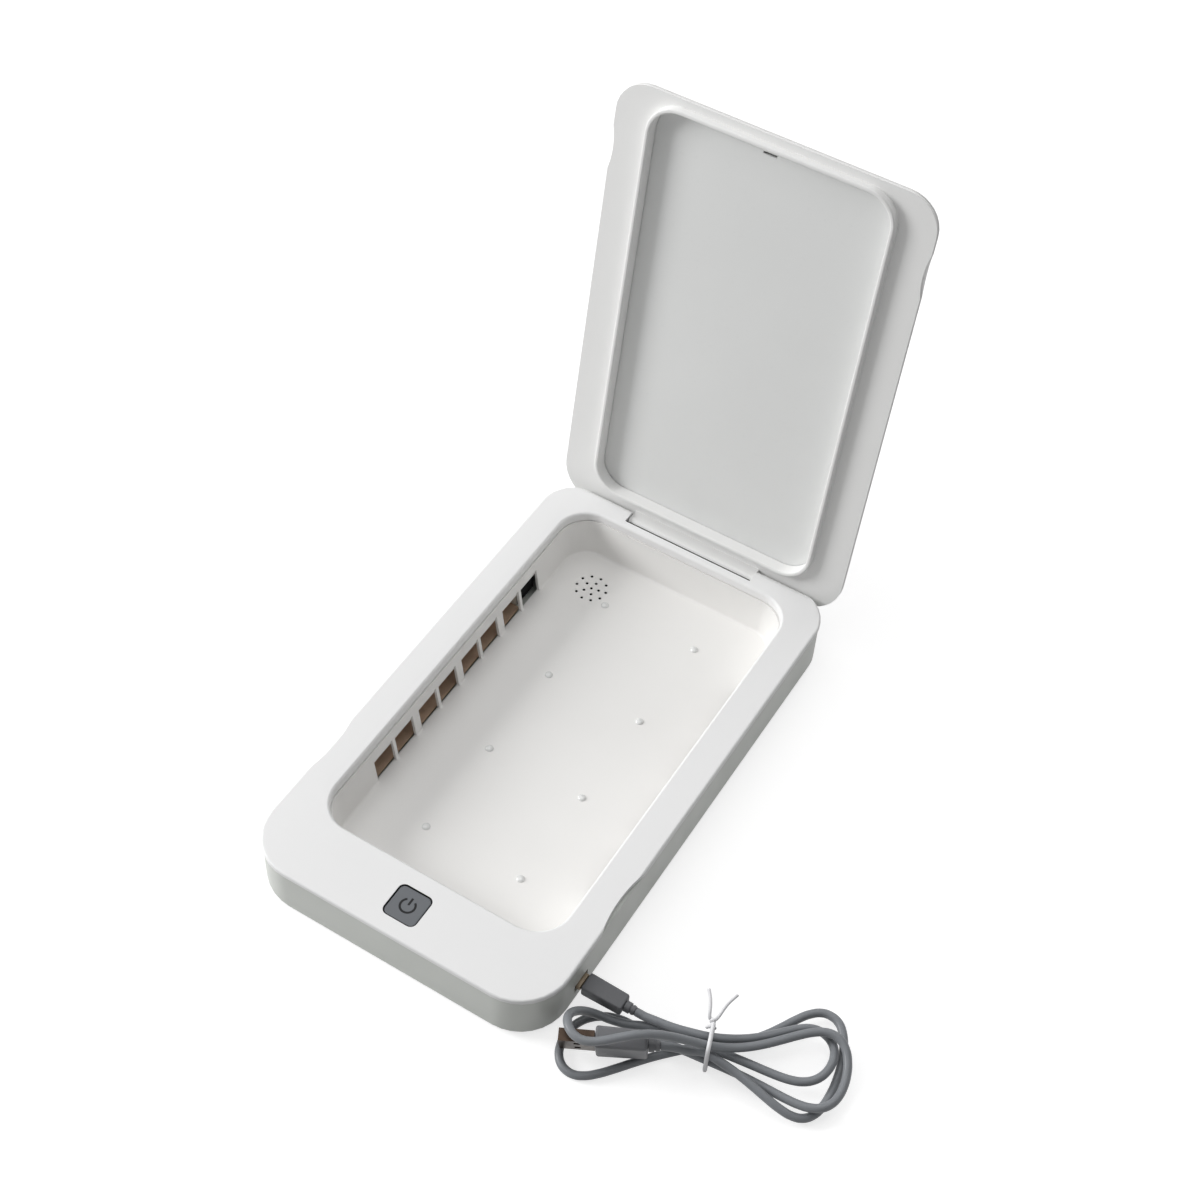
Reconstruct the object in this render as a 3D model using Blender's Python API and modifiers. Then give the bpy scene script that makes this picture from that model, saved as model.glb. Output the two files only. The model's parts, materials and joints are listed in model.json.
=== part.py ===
# UV sterilizer box with its lid open and its USB cable tied in a hank beside it.
# Metres, +Z up, front towards -Y. The box stands on four rubber feet at z = 0.

import math

import bmesh
import bpy
import numpy as np
from mathutils import Matrix, Vector

part_name = "uv_sterilizer"

# Clearances that every fit uses
fit_gap = 0.0003
slide_gap = 0.0004
cut_overrun = 0.0030
sink = 0.0006

# Box: outer outline and levels
base_length = 0.2200
base_width = 0.1290
base_height = 0.0256
front_corner = 0.0200
rear_corner = 0.0160
foot_height = 0.0008

# Top cover: deck plate, edge and the rim around the chamber
cover_thickness = 0.0020
cover_edge_round = 0.0008
skirt_thickness = 0.0013
deck_side = 0.0136
deck_front = 0.0279
deck_rear = 0.0103
opening_corner = 0.0135
opening_flare = 0.0012
rail_thickness = 0.0012
rail_drop = 0.0020
rail_front_inset = 0.0400
rail_rear_inset = 0.0250

# Finger scoops in both long edges of the deck and of the lid
scoop_chord = 0.0300
scoop_depth = 0.0019
scoop_centre = 0.0540
lid_scoop_chord = 0.0180
lid_scoop_depth = 0.0011
lid_scoop_centre = 0.0550

# Lower housing
housing_inset = 0.0004
housing_wall = 0.0020
housing_floor = 0.0012
housing_bottom_round = 0.0030
housing_bead = 0.0004

# Chamber tub with its lamp windows, vent and rests
tub_ledge = 0.0005
tub_draft = 0.0022
tub_corner = 0.0112
tub_floor_level = 0.0046
tub_wall = 0.0012
tub_fillet = 0.0010
tub_flange = 0.0025
tub_drop = 0.0043
window_drop = 0.0091
window_mullion = 0.0016
window_post = 0.0039
window_front_inset = 0.03205
window_rear_inset = 0.03025
window_pairs = 4
rest_radius = 0.0015
rest_height = 0.0007
rest_side_inset = 0.0270
rest_front_inset = 0.0249
rest_rear_inset = 0.0222
rest_rows = 4
vent_inset = 0.0175
vent_hole = 0.0013
vent_pitch = 0.0032
vent_counts = (1, 5, 10)
vent_turn_degrees = 83.0
pad_diameter = 0.0180
pad_thickness = 0.0008

# Ultraviolet lamps behind both chamber walls
lamp_offset = 0.0078
lamp_diameter = 0.0060
lamp_overhang = 0.0060
reflector_sheet = 0.0004
reflector_lap = 0.00175
reflector_wall_gap = 0.0006
reflector_back_gap = 0.0007
reflector_low = 0.0040
reflector_drop = 0.0058
reflector_bend = 0.0012
holder_width = 0.0080
holder_length = 0.0070
holder_drop = 0.0058
holder_round = 0.0008
lamp_rib_half = 0.0010
lamp_rib_inset = 0.0100
lamp_rib_length = 0.0080

# Circuit board in the front band
board_side_inset = 0.0205
board_end_inset = 0.0050
board_tub_gap = 0.0009
board_step_back = 0.0094
board_tab_inset = 0.0032
board_tab_width = 0.0101
board_tab_reach = 0.0070
board_top = 0.0080
board_thickness = 0.0012
board_post = 0.0020
switch_size = 0.0060
switch_height = 0.0035
plunger_radius = 0.0018
plunger_top = 0.0134
plunger_bottom = 0.0108
plunger_bore_depth = 0.0015
transformer_x = 0.0230
transformer_size = (0.0130, 0.0110, 0.0095)
transformer_core = 0.0030
capacitor_x = 0.0215
capacitor_diameter = 0.0063
capacitor_room = 0.0043
chip_x = 0.0110
chip_size = (0.0050, 0.0060, 0.0016)
chip_legs = 4
chip_pitch = 0.00127
sensor_inset = 0.0130
sensor_size = (0.0040, 0.0016, 0.0032)

# Power button in the deck
button_x = 0.0005
button_inset = 0.0135
button_size = 0.0134
button_corner = 0.0022
button_sink = 0.0003
button_collar = 0.0012
button_collar_height = 0.0012
button_stem = 0.0022
button_travel = 0.0005
button_edge_round = 0.0004
icon_radius = 0.0027
icon_line = 0.0006
icon_depth = 0.0002

# Screws from below, feet
screw_front_insets = (0.0105, 0.0130)
screw_rear_insets = (0.0100, 0.0090)
screw_shaft = 0.0024
screw_head = 0.0052
screw_head_height = 0.0016
screw_length = 0.0120
screw_slot = 0.0008
post_radius = 0.0044
post_height = 0.0077
post_recess = 0.0040
boss_radius = 0.0033
foot_diameter = 0.0100
foot_recess = 0.0005
foot_side_inset = 0.0205
foot_end_inset = 0.0240
foot_round = 0.0002

# Hinge
hinge_inset = 0.0034
hinge_drop = 0.0044
knuckle_radius = 0.0031
knuckle_inset = 0.0354
notch_gap = 0.0008
pin_diameter = 0.0020
pin_overhang = 0.0054
ear_width = 0.0065
ear_front = 0.0032
ear_rear = 0.0016
ear_top = 0.0005
lid_open_degrees = 99.1

# Lid
lid_overhang = 0.0003
lid_lap = 0.0026
lid_front_corner = 0.0135
lid_gap = 0.0003
lid_rim = 0.0012
lid_height = 0.0130
lid_wall = 0.0016
lid_shoulder_start = 0.0006
lid_side_degrees = 20.0
lid_end_degrees = 45.0
lid_dome_steps = 6
lid_corner_growth_share = 0.55
lip_clearance = 0.0004
lip_thickness = 0.0018
lip_height = 0.0032
lip_round = 0.0006
lip_rear_inset = 0.0011
lip_corner = 0.0131
panel_recess = 0.0026
panel_thickness = 0.0010
panel_lap = 0.0007
slot_x = 0.00275
slot_length = 0.0056
slot_width = 0.0010
slot_inset = 0.0064
magnet_size = (0.0100, 0.0050, 0.0020)
magnet_x = 0.0200
magnet_inset = 0.0141

# Cable: device plug, lead, hank, tie and supply plug
cable_diameter = 0.0032
port_inset = 0.0290
port_level = 0.0100
port_width = 0.0089
port_height = 0.0040
socket_size = (0.0052, 0.0083, 0.0034)
socket_mouth = (0.0075, 0.0024)
socket_inset = 0.0004
tip_size = (0.0067, 0.00685, 0.0018)
tip_chamfer = 0.0004
tip_bore = (0.0050, 0.0060, 0.0010)
plug_stand = 0.0015
plug_size = (0.0163, 0.0075, 0.0052)
plug_taper_share = 0.94
plug_round = 0.0008
plug_relief_diameter = 0.0042
plug_relief_length = 0.0040
usb_stand = (0.0168, 0.0108, 0.0119)
usb_turn_degrees = 25.9
usb_tilt_degrees = 3.0
usb_lean_degrees = 15.0
usb_shell = (0.0125, 0.0045, 0.0120)
usb_shell_wall = 0.0004
usb_hole = 0.0022
usb_hole_reach = 0.0060
usb_hole_half_spacing = 0.0028
usb_tongue = (0.0112, 0.0018, 0.0104)
usb_body = (0.0182, 0.0080, 0.0150)
usb_body_taper_share = 0.93
usb_body_round = 0.0010
usb_relief_diameter = 0.0048
usb_relief_length = 0.0040
hank_stand = 0.0500
hank_inset = 0.0335
hank_turn_degrees = 19.0
loop_points = 24
# Where the cable crosses the tie, turn after turn: sideways and above the table
waist_across = (0.00095, -0.00105, -0.00405, -0.00465, 0.00055, -0.00525)
waist_level = (0.0095, 0.0066, 0.0123, 0.0044, 0.0037, 0.0086)
# Each loop: side, reach, half width, sideways shift, level on the way out and on the way back
loop_sizes = (
    (1, 0.0430, 0.0105, 0.0065, 0.0070, 0.0070),
    (-1, 0.0490, 0.0093, -0.0067, 0.0195, 0.0225),
    (1, 0.0482, 0.0148, 0.0042, 0.0093, 0.0057),
    (-1, 0.0510, 0.0142, -0.0088, 0.0018, 0.0018),
    (1, 0.0460, 0.0199, 0.0082, 0.0040, 0.0040),
)
# Shares of a loop over which it leaves the waist's level and comes back to it
climb_shares = (
    (0.03, 0.30, 0.04, 0.30),
    (0.29, 0.49, 0.02, 0.14),
    (0.04, 0.30, 0.04, 0.30),
    (0.06, 0.23, 0.00, 0.10),
    (0.03, 0.28, 0.00, 0.31),
)
turn_over_shares = (0.36, 0.28)
fold_share = 0.8
fold_swell_share = 1.18
# The wound cable is pushed clear of itself and its sharp bends are eased
route_gap = 0.0009
block_gap = 0.0007
table_gap = 0.0001
least_bend = 0.0080
route_steps = 400
route_parts = 3
held_points = 3
push_share = 0.35
bend_share = 0.35
calm_share = 0.08
span_share = 0.4
tie_diameter = 0.0016
tie_knot = 0.0021
tie_clearance = 0.0004
tie_sides = 28
tie_square_share = 0.4
tie_knot_place = (-0.0006, 0.0044, 0.0150)
tie_end_routes = (
    ((-0.0008, 0.0048, 0.0156), (-0.0018, 0.0070, 0.0172), (-0.0026, 0.0104, 0.0184), (-0.0040, 0.0146, 0.0190)),
    ((-0.0002, 0.0050, 0.0156), (0.0008, 0.0074, 0.0172), (0.0034, 0.0108, 0.0182), (0.0062, 0.0150, 0.0186)),
)

# Colours
white_plastic = (0.86, 0.86, 0.85)
grey_plastic = (0.60, 0.60, 0.57)
panel_white = (0.72, 0.72, 0.71)
button_grey = (0.16, 0.17, 0.19)
cable_grey = (0.19, 0.20, 0.21)


def deg(angle):
    return math.radians(angle)


# Levels and places that follow from the sizes above
half_length = base_length / 2
half_width = base_width / 2
deck_top = base_height
deck_under = deck_top - cover_thickness
housing_top = deck_under - fit_gap
housing_bottom = foot_height
floor_top = housing_bottom + housing_floor
opening_half_width = half_width - deck_side
opening_front = half_length - deck_front
opening_rear = half_length - deck_rear
rail_front = half_length - rail_front_inset
rail_rear = half_length - rail_rear_inset
tub_half_width = opening_half_width - tub_ledge - tub_draft
tub_front = opening_front - tub_ledge - tub_draft
tub_rear = opening_rear - tub_ledge - tub_draft
window_start = -tub_front + window_front_inset
window_stop = tub_rear - window_rear_inset
window_pair_pitch = (window_stop - window_start + window_post) / window_pairs
window_width = (window_pair_pitch - window_post - window_mullion) / 2
rest_half_spacing = tub_half_width - rest_side_inset
rest_first = tub_front - rest_front_inset
rest_pitch = (tub_rear - rest_rear_inset + rest_first) / (rest_rows - 1)
vent_x = tub_half_width - vent_inset
vent_y = tub_rear - vent_inset
lamp_x = tub_half_width + lamp_offset
window_top = deck_top - window_drop
reflector_high = deck_top - reflector_drop
lamp_level = (reflector_low + reflector_high) / 2
holder_height = deck_top - holder_drop - floor_top - fit_gap
capacitor_height = deck_under - capacitor_room - board_top - fit_gap
reflector_front = -window_start + reflector_lap
reflector_rear = window_stop - window_width
reflector_inner = tub_half_width + tub_wall + reflector_wall_gap
reflector_upper_inner = reflector_inner + tub_draft
reflector_outer = half_width - housing_inset - housing_wall - reflector_back_gap
lamp_front = reflector_front + lamp_overhang
lamp_rear = reflector_rear + lamp_overhang
lamp_rib_front = reflector_front - lamp_rib_inset
lamp_rib_rear = reflector_rear - lamp_rib_inset
button_y = half_length - button_inset
port_y = half_length - port_inset
board_half_width = half_width - board_side_inset
board_front = half_length - board_end_inset
board_rear = opening_front + board_tub_gap
board_step = opening_front + board_step_back
board_right = half_width - board_tab_inset
board_tab_left = board_right - board_tab_width
board_tab_rear = port_y - board_tab_reach
board_part_y = button_y
sensor_x = board_half_width - sensor_inset
screw_front = (half_width - screw_front_insets[0], half_length - screw_front_insets[1])
screw_rear = (half_width - screw_rear_insets[0], half_length - screw_rear_insets[1])
foot_x = half_width - foot_side_inset
foot_y = half_length - foot_end_inset
knuckle_half = half_width - knuckle_inset
pin_reach = knuckle_half + pin_overhang
lid_half_width = half_width + lid_overhang
lid_front = opening_front + lid_lap
lip_rear = opening_rear - lip_rear_inset
slot_y = opening_front - slot_inset
magnet_y = opening_front - magnet_inset
usb_origin = (half_width + usb_stand[0], -half_length + usb_stand[1], usb_stand[2])
hank_x = half_width + hank_stand
hank_y = half_length - hank_inset
skirt_bottom = deck_top - tub_drop + fit_gap
tub_top = deck_top - tub_drop
hinge_y = half_length - hinge_inset
border_level = deck_top + lid_gap
hinge_z = border_level - hinge_drop
lid_shell_level = border_level + lid_rim + fit_gap
open_angle = deg(lid_open_degrees)


def clear_scene():
    for obj in list(bpy.data.objects):
        bpy.data.objects.remove(obj, do_unlink=True)


clear_scene()
solids = bpy.data.collections.new(part_name)
cutters = bpy.data.collections.new("cutters")
for group in (solids, cutters):
    bpy.context.scene.collection.children.link(group)
root = bpy.data.objects.new("box_origin", None)
solids.objects.link(root)


def material(name, colour, rough=0.5, metal=0.0):
    mat = bpy.data.materials.new(name)
    mat.use_nodes = True
    shader = mat.node_tree.nodes["Principled BSDF"]
    shader.inputs["Base Color"].default_value = (*colour, 1.0)
    shader.inputs["Roughness"].default_value = rough
    shader.inputs["Metallic"].default_value = metal
    return mat


def paint(obj, colour, rough=0.5, metal=0.0):
    obj.data.materials.clear()
    obj.data.materials.append(material(obj.name + "_finish", colour, rough, metal))
    return obj


def add(name, mesh, parent=root):
    obj = bpy.data.objects.new(name, mesh)
    solids.objects.link(obj)
    obj.parent = parent
    return obj


def from_bmesh(name, bm, parent=root):
    mesh = bpy.data.meshes.new(name)
    bm.to_mesh(mesh)
    bm.free()
    return add(name, mesh, parent)


def as_cutter(obj):
    for group in list(obj.users_collection):
        group.objects.unlink(obj)
    cutters.objects.link(obj)
    obj.hide_render = True
    obj.display_type = "WIRE"
    return obj


def boolean(target, tool, operation):
    mod = target.modifiers.new(operation.lower() + "_" + tool.name, "BOOLEAN")
    mod.operation = operation
    mod.solver = "EXACT"
    mod.object = as_cutter(tool)
    return target


def cut(target, *tools):
    for tool in tools:
        boolean(target, tool, "DIFFERENCE")
    return target


def fuse(target, *tools):
    for tool in tools:
        boolean(target, tool, "UNION")
    return target


def settle(obj):
    """Replace the object's mesh by what its modifiers make of it."""
    bpy.context.view_layer.update()
    graph = bpy.context.evaluated_depsgraph_get()
    mesh = bpy.data.meshes.new_from_object(obj.evaluated_get(graph))
    bm = bmesh.new()
    bm.from_mesh(mesh)
    bmesh.ops.remove_doubles(bm, verts=bm.verts, dist=sink / 100)
    bm.to_mesh(mesh)
    bm.free()
    obj.modifiers.clear()
    obj.data = mesh
    return obj


def smooth(obj, angle=35.0):
    obj.data.shade_smooth()
    obj.data.set_sharp_from_angle(angle=deg(angle))
    return obj


# Basic solids

def box(name, low, high, parent=root):
    bm = bmesh.new()
    bmesh.ops.create_cube(bm, size=1.0)
    size = [b - a for a, b in zip(low, high)]
    bmesh.ops.scale(bm, vec=size, verts=bm.verts)
    obj = from_bmesh(name, bm, parent)
    obj.location = [(a + b) / 2 for a, b in zip(low, high)]
    return obj


def rod(name, radius, centre, length, axis="Z", sides=24, parent=root, tip=None):
    bm = bmesh.new()
    top = radius if tip is None else tip
    bmesh.ops.create_cone(bm, cap_ends=True, segments=sides, radius1=radius, radius2=top, depth=length)
    obj = from_bmesh(name, bm, parent)
    turn = {"X": Matrix.Rotation(deg(90), 4, "Y"), "Y": Matrix.Rotation(deg(-90), 4, "X"), "Z": Matrix()}[axis]
    obj.data.transform(turn)
    obj.location = centre
    return obj


def rounded(half_width, front, rear, front_radius, rear_radius, steps=8):
    """Outline of a box seen from above, with one corner radius in front and one behind."""
    corners = (
        (half_width - front_radius, front + front_radius, front_radius, -90.0),
        (half_width - rear_radius, rear - rear_radius, rear_radius, 0.0),
        (-half_width + rear_radius, rear - rear_radius, rear_radius, 90.0),
        (-half_width + front_radius, front + front_radius, front_radius, 180.0),
    )
    points = []
    for x, y, radius, start in corners:
        for k in range(steps + 1):
            angle = deg(start + 90.0 * k / steps)
            points.append((x + radius * math.cos(angle), y + radius * math.sin(angle)))
    return points


def slab(name, outlines, low, high, parent=root):
    """Flat outline raised to a plate; outlines after the first are its holes."""
    curve = bpy.data.curves.new(name, "CURVE")
    curve.dimensions = "2D"
    curve.fill_mode = "BOTH"
    curve.extrude = (high - low) / 2
    for outline in outlines:
        spline = curve.splines.new("POLY")
        spline.points.add(len(outline) - 1)
        for point, (x, y) in zip(spline.points, outline):
            point.co = (x, y, 0.0, 1.0)
        spline.use_cyclic_u = True
    source = add(name + "_outline", curve)
    source.location.z = (high + low) / 2
    bpy.context.view_layer.update()
    graph = bpy.context.evaluated_depsgraph_get()
    mesh = bpy.data.meshes.new_from_object(source.evaluated_get(graph))
    bm = bmesh.new()
    bm.from_mesh(mesh)
    bmesh.ops.remove_doubles(bm, verts=bm.verts, dist=sink / 100)
    flat = [e for e in bm.edges if len(e.link_faces) == 2 and e.calc_face_angle() < deg(0.5)]
    bmesh.ops.dissolve_edges(bm, edges=[e for e in flat if abs(e.verts[0].co.z - e.verts[1].co.z) < sink / 100])
    bmesh.ops.recalc_face_normals(bm, faces=bm.faces)
    bmesh.ops.translate(bm, vec=(0.0, 0.0, (high + low) / 2), verts=bm.verts)
    bm.to_mesh(mesh)
    bm.free()
    mesh.name = name
    bpy.data.objects.remove(source, do_unlink=True)
    return add(name, mesh, parent)


def round_rim(obj, level, radius, segments=3, choose=None):
    """Round the sharp edges that lie at one level of a plate."""
    bm = bmesh.new()
    bm.from_mesh(obj.data)
    rim = []
    for edge in bm.edges:
        at_level = all(abs(v.co.z - level) < sink / 50 for v in edge.verts)
        if at_level and len(edge.link_faces) == 2 and edge.calc_face_angle() > deg(45.0):
            if choose is None or choose(edge):
                rim.append(edge)
    bmesh.ops.bevel(bm, geom=rim, offset=radius, segments=segments, profile=0.5, affect="EDGES")
    bm.to_mesh(obj.data)
    bm.free()
    return obj


def loft(name, rings, open_end=False, parent=root):
    """Skin through rings of equal point counts, from the first ring to the last."""
    bm = bmesh.new()
    rows = [[bm.verts.new(point) for point in ring] for ring in rings]
    count = len(rows[0])
    for lower, upper in zip(rows, rows[1:]):
        for k in range(count):
            after = (k + 1) % count
            bm.faces.new((lower[k], lower[after], upper[after], upper[k]))
    bm.faces.new(rows[-1])
    if not open_end:
        bm.faces.new(list(reversed(rows[0])))
    bmesh.ops.recalc_face_normals(bm, faces=bm.faces)
    return from_bmesh(name, bm, parent)


def ring_at(outline, level):
    return [(x, y, level) for x, y in outline]


def turned(name, profile, steps=24, parent=root):
    """Solid of revolution about Z; the profile runs down its outer side."""
    bm = bmesh.new()
    verts = [bm.verts.new((radius, 0.0, level)) for radius, level in profile]
    for a, b in zip(verts, verts[1:]):
        bm.edges.new((a, b))
    obj = from_bmesh(name, bm, parent)
    mod = obj.modifiers.new("turn", "SCREW")
    mod.steps = steps
    mod.render_steps = steps
    mod.use_merge_vertices = True
    mod.merge_threshold = sink / 100
    return obj


def bevel(obj, width, segments=2, angle=40.0):
    mod = obj.modifiers.new("round", "BEVEL")
    mod.width = width
    mod.segments = segments
    mod.limit_method = "ANGLE"
    mod.angle_limit = deg(angle)
    mod.harden_normals = False
    return obj


def tube(name, points, diameter, resolution=2, closed=False, parent=root):
    curve = bpy.data.curves.new(name, "CURVE")
    curve.dimensions = "3D"
    curve.bevel_depth = diameter / 2
    curve.bevel_resolution = resolution
    curve.render_resolution_u = 0
    curve.use_fill_caps = True
    spline = curve.splines.new("POLY")
    spline.points.add(len(points) - 1)
    for point, place in zip(spline.points, points):
        point.co = (*place, 1.0)
    spline.use_cyclic_u = closed
    return add(name, curve, parent)


def tube_mesh(name, points, diameter, resolution=2, closed=False, parent=root):
    """Tube as a mesh, so that it can be cut or joined."""
    source = tube(name + "_path", points, diameter, resolution, closed, parent)
    bpy.context.view_layer.update()
    graph = bpy.context.evaluated_depsgraph_get()
    mesh = bpy.data.meshes.new_from_object(source.evaluated_get(graph))
    bm = bmesh.new()
    bm.from_mesh(mesh)
    bmesh.ops.remove_doubles(bm, verts=bm.verts, dist=sink / 100)
    bmesh.ops.recalc_face_normals(bm, faces=bm.faces)
    bm.to_mesh(mesh)
    bm.free()
    bpy.data.objects.remove(source, do_unlink=True)
    return add(name, mesh, parent)


# Box shell

def base_outline(inset=0.0, steps=8):
    half = base_width / 2 - inset
    end = base_length / 2 - inset
    return rounded(half, -end, end, front_corner - inset, rear_corner - inset, steps)


def screw_places():
    places = []
    for side in (-1, 1):
        places.append((side * screw_front[0], -screw_front[1]))
        places.append((side * screw_rear[0], screw_rear[1]))
    return places


def foot_places():
    return [(sx * foot_x, sy * foot_y) for sx in (-1, 1) for sy in (-1, 1)]


def web_dip():
    """How far below the axis the open lid's web reaches where it leaves the box."""
    along = (hinge_inset - knuckle_radius * math.cos(open_angle)) / math.sin(open_angle)
    return knuckle_radius * math.sin(open_angle) - along * math.cos(open_angle)


def hinge_notch(name):
    half = knuckle_half + slide_gap
    front = hinge_y - knuckle_radius - notch_gap
    bottom = hinge_z - web_dip() - slide_gap
    rear = base_length / 2 + cut_overrun
    return box(name, (-half, front, bottom), (half, rear, deck_top + cut_overrun))


def make_lower_housing():
    housing = slab("lower_housing", [base_outline(housing_inset)], housing_bottom, housing_top)
    round_rim(housing, housing_bottom, housing_bottom_round, 3)
    round_rim(housing, housing_top, housing_bead, 1)
    inner = slab("housing_hollow", [base_outline(housing_inset + housing_wall)], floor_top, housing_top + cut_overrun)
    cut(housing, inner)
    root_level = housing_bottom + housing_floor / 2
    for k, (x, y) in enumerate(screw_places()):
        high = housing_bottom + post_height
        post = rod("screw_post_%d" % k, post_radius, (x, y, (root_level + high) / 2), high - root_level)
        fuse(housing, post)
    board_under = board_top - board_thickness - fit_gap
    rear_post_y = -board_rear - board_post * 2
    front_post_y = -board_front + board_post * 2
    post_side = board_half_width - board_post * 3
    posts = [(sx * post_side, y) for sx in (-1, 1) for y in (front_post_y, rear_post_y)]
    posts.append((board_right - board_post * 2, -board_tab_rear - board_post * 2))
    for k, (x, y) in enumerate(posts):
        fuse(housing, rod("board_post_%d" % k, board_post, (x, y, (root_level + board_under) / 2),
                          board_under - root_level, sides=12))
    tub_under = tub_floor_level - tub_wall - fit_gap
    rib_reach = tub_half_width - tub_corner
    for k, y in enumerate((-tub_front * 3 / 4, -tub_wall * 4, tub_rear / 2)):
        low = (-rib_reach, y - tub_wall / 2, root_level)
        fuse(housing, box("tub_rib_%d" % k, low, (rib_reach, y + tub_wall / 2, tub_under)))
    shelf = reflector_low - fit_gap
    for side in (-1, 1):
        for y in (-lamp_rib_front, lamp_rib_rear):
            x0, x1 = sorted((side * (lamp_x - lamp_rib_length / 2), side * (lamp_x + lamp_rib_length / 2)))
            low = (x0, y - lamp_rib_half, root_level)
            fuse(housing, box("lamp_rib", low, (x1, y + lamp_rib_half, shelf)))
    for side in (-1, 1):
        x0, x1 = sorted((side * (knuckle_half - ear_width / 4), side * (knuckle_half + ear_width)))
        low = (x0, hinge_y - ear_front, hinge_z - web_dip() - slide_gap)
        fuse(housing, box("hinge_ear", low, (x1, hinge_y + ear_rear, housing_top - ear_top)))
    cut(housing, hinge_notch("housing_notch"))
    bore_start = knuckle_half - ear_width / 4
    bore_end = pin_reach + slide_gap
    for side in (-1, 1):
        cut(housing, rod("pin_bore_housing", pin_diameter / 2 + fit_gap, (side * (bore_start + bore_end) / 2, hinge_y, hinge_z),
                         bore_end - bore_start, "X", 12))
    for k, (x, y) in enumerate(screw_places()):
        recess_top = housing_bottom + post_recess - housing_bottom
        hole = rod("screw_recess_%d" % k, screw_head / 2 + slide_gap, (x, y, (recess_top - cut_overrun) / 2),
                   recess_top + cut_overrun)
        through = rod("screw_hole_%d" % k, screw_shaft / 2 + slide_gap, (x, y, post_height),
                      post_height * 2 + cut_overrun, sides=12)
        cut(housing, hole, through)
    for k, (x, y) in enumerate(foot_places()):
        high = housing_bottom + foot_recess
        cut(housing, rod("foot_recess_%d" % k, foot_diameter / 2 + fit_gap, (x, y, (high - cut_overrun) / 2),
                         high + cut_overrun))
    wall_x = base_width / 2 - housing_inset - housing_wall
    port = box("port_opening", (wall_x - cut_overrun, -port_y - port_width / 2, port_level - port_height / 2),
               (base_width / 2 + cut_overrun, -port_y + port_width / 2, port_level + port_height / 2))
    cut(housing, port)
    paint(housing, grey_plastic, 0.42)
    return settle_smooth(housing)


def settle_smooth(obj, angle=35.0):
    settle(obj)
    return smooth(obj, angle)


def opening_outline(grow=0.0, steps=8):
    half = opening_half_width + grow
    return rounded(half, -opening_front - grow, opening_rear + grow,
                   opening_corner + grow, opening_corner + grow, steps)


def scoop(name, side, half_width, chord, depth, centre, low, high):
    radius = (chord * chord / 4 + depth * depth) / (2 * depth)
    x = side * (half_width - depth + radius)
    tool = rod(name, radius, (x, -centre, (low + high) / 2), high - low, sides=192)
    return tool


def make_top_cover():
    cover = slab("top_cover", [base_outline()], deck_under, deck_top)
    round_rim(cover, deck_top, cover_edge_round, 3)
    skirt_outline = opening_outline(skirt_thickness)
    fuse(cover, slab("skirt_block", [skirt_outline], skirt_bottom, deck_under + sink))
    rail_x = base_width / 2 - housing_inset - housing_wall - fit_gap
    for side in (-1, 1):
        x0, x1 = sorted((side * (rail_x - rail_thickness), side * rail_x))
        low = (x0, -rail_front, deck_under - rail_drop)
        fuse(cover, box("edge_rail", low, (x1, rail_rear, deck_under + sink)))
    for k, (x, y) in enumerate(screw_places()):
        low = housing_bottom + post_height + fit_gap
        high = deck_under + sink
        fuse(cover, rod("screw_boss_%d" % k, boss_radius, (x, y, (low + high) / 2), high - low))
    flare_steps = 3
    rings = [ring_at(opening_outline(), skirt_bottom - cut_overrun)]
    for k in range(flare_steps + 1):
        angle = deg(90.0 * k / flare_steps)
        grow = opening_flare * (1.0 - math.cos(angle))
        level = deck_top - opening_flare + opening_flare * math.sin(angle)
        rings.append(ring_at(opening_outline(grow), level))
    rings.append(ring_at(opening_outline(opening_flare), deck_top + cut_overrun))
    cut(cover, loft("chamber_opening", rings))
    for side in (-1, 1):
        cut(cover, scoop("deck_scoop", side, base_width / 2, scoop_chord, scoop_depth, scoop_centre,
                         deck_under - cut_overrun, deck_top + cut_overrun))
    cut(cover, hinge_notch("deck_notch"))
    swing = box("rear_swing", (-base_width, hinge_y, hinge_z), (base_width, base_length, deck_top + cut_overrun))
    roller = rod("rear_roller", hinge_drop - fit_gap, (0.0, hinge_y, hinge_z), base_width * 3, "X", 64)
    cut(swing, roller)
    cut(cover, swing)
    hole = button_size / 2 + slide_gap
    hole_outline = shifted(rounded(hole, -hole, hole, button_corner + slide_gap, button_corner + slide_gap, 5),
                           button_x, -button_y)
    cut(cover, slab("button_hole", [hole_outline], deck_under - cut_overrun, deck_top + cut_overrun))
    for k, (x, y) in enumerate(screw_places()):
        low = housing_bottom + post_height - cut_overrun
        high = housing_bottom + post_recess + screw_length + slide_gap
        cut(cover, rod("boss_bore_%d" % k, screw_shaft / 2 + fit_gap, (x, y, (low + high) / 2), high - low, sides=12))
    paint(cover, white_plastic, 0.35)
    return settle_smooth(cover)


def shifted(outline, x, y):
    return [(px + x, py + y) for px, py in outline]


def tub_outline(grow=0.0, steps=8):
    return rounded(tub_half_width + grow, -tub_front - grow, tub_rear + grow,
                   tub_corner + grow, tub_corner + grow, steps)


def vent_places():
    places = []
    for ring, count in enumerate(vent_counts):
        radius = ring * vent_pitch
        for k in range(count):
            angle = deg(vent_turn_degrees + 360.0 * k / count)
            places.append((-vent_x + radius * math.cos(angle), vent_y + radius * math.sin(angle)))
    return places


def many_rods(name, places, radius, low, high, sides):
    bm = bmesh.new()
    for x, y in places:
        spot = Matrix.Translation((x, y, (low + high) / 2))
        bmesh.ops.create_cone(bm, cap_ends=True, segments=sides, radius1=radius, radius2=radius,
                              depth=high - low, matrix=spot)
    return from_bmesh(name, bm)


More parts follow.
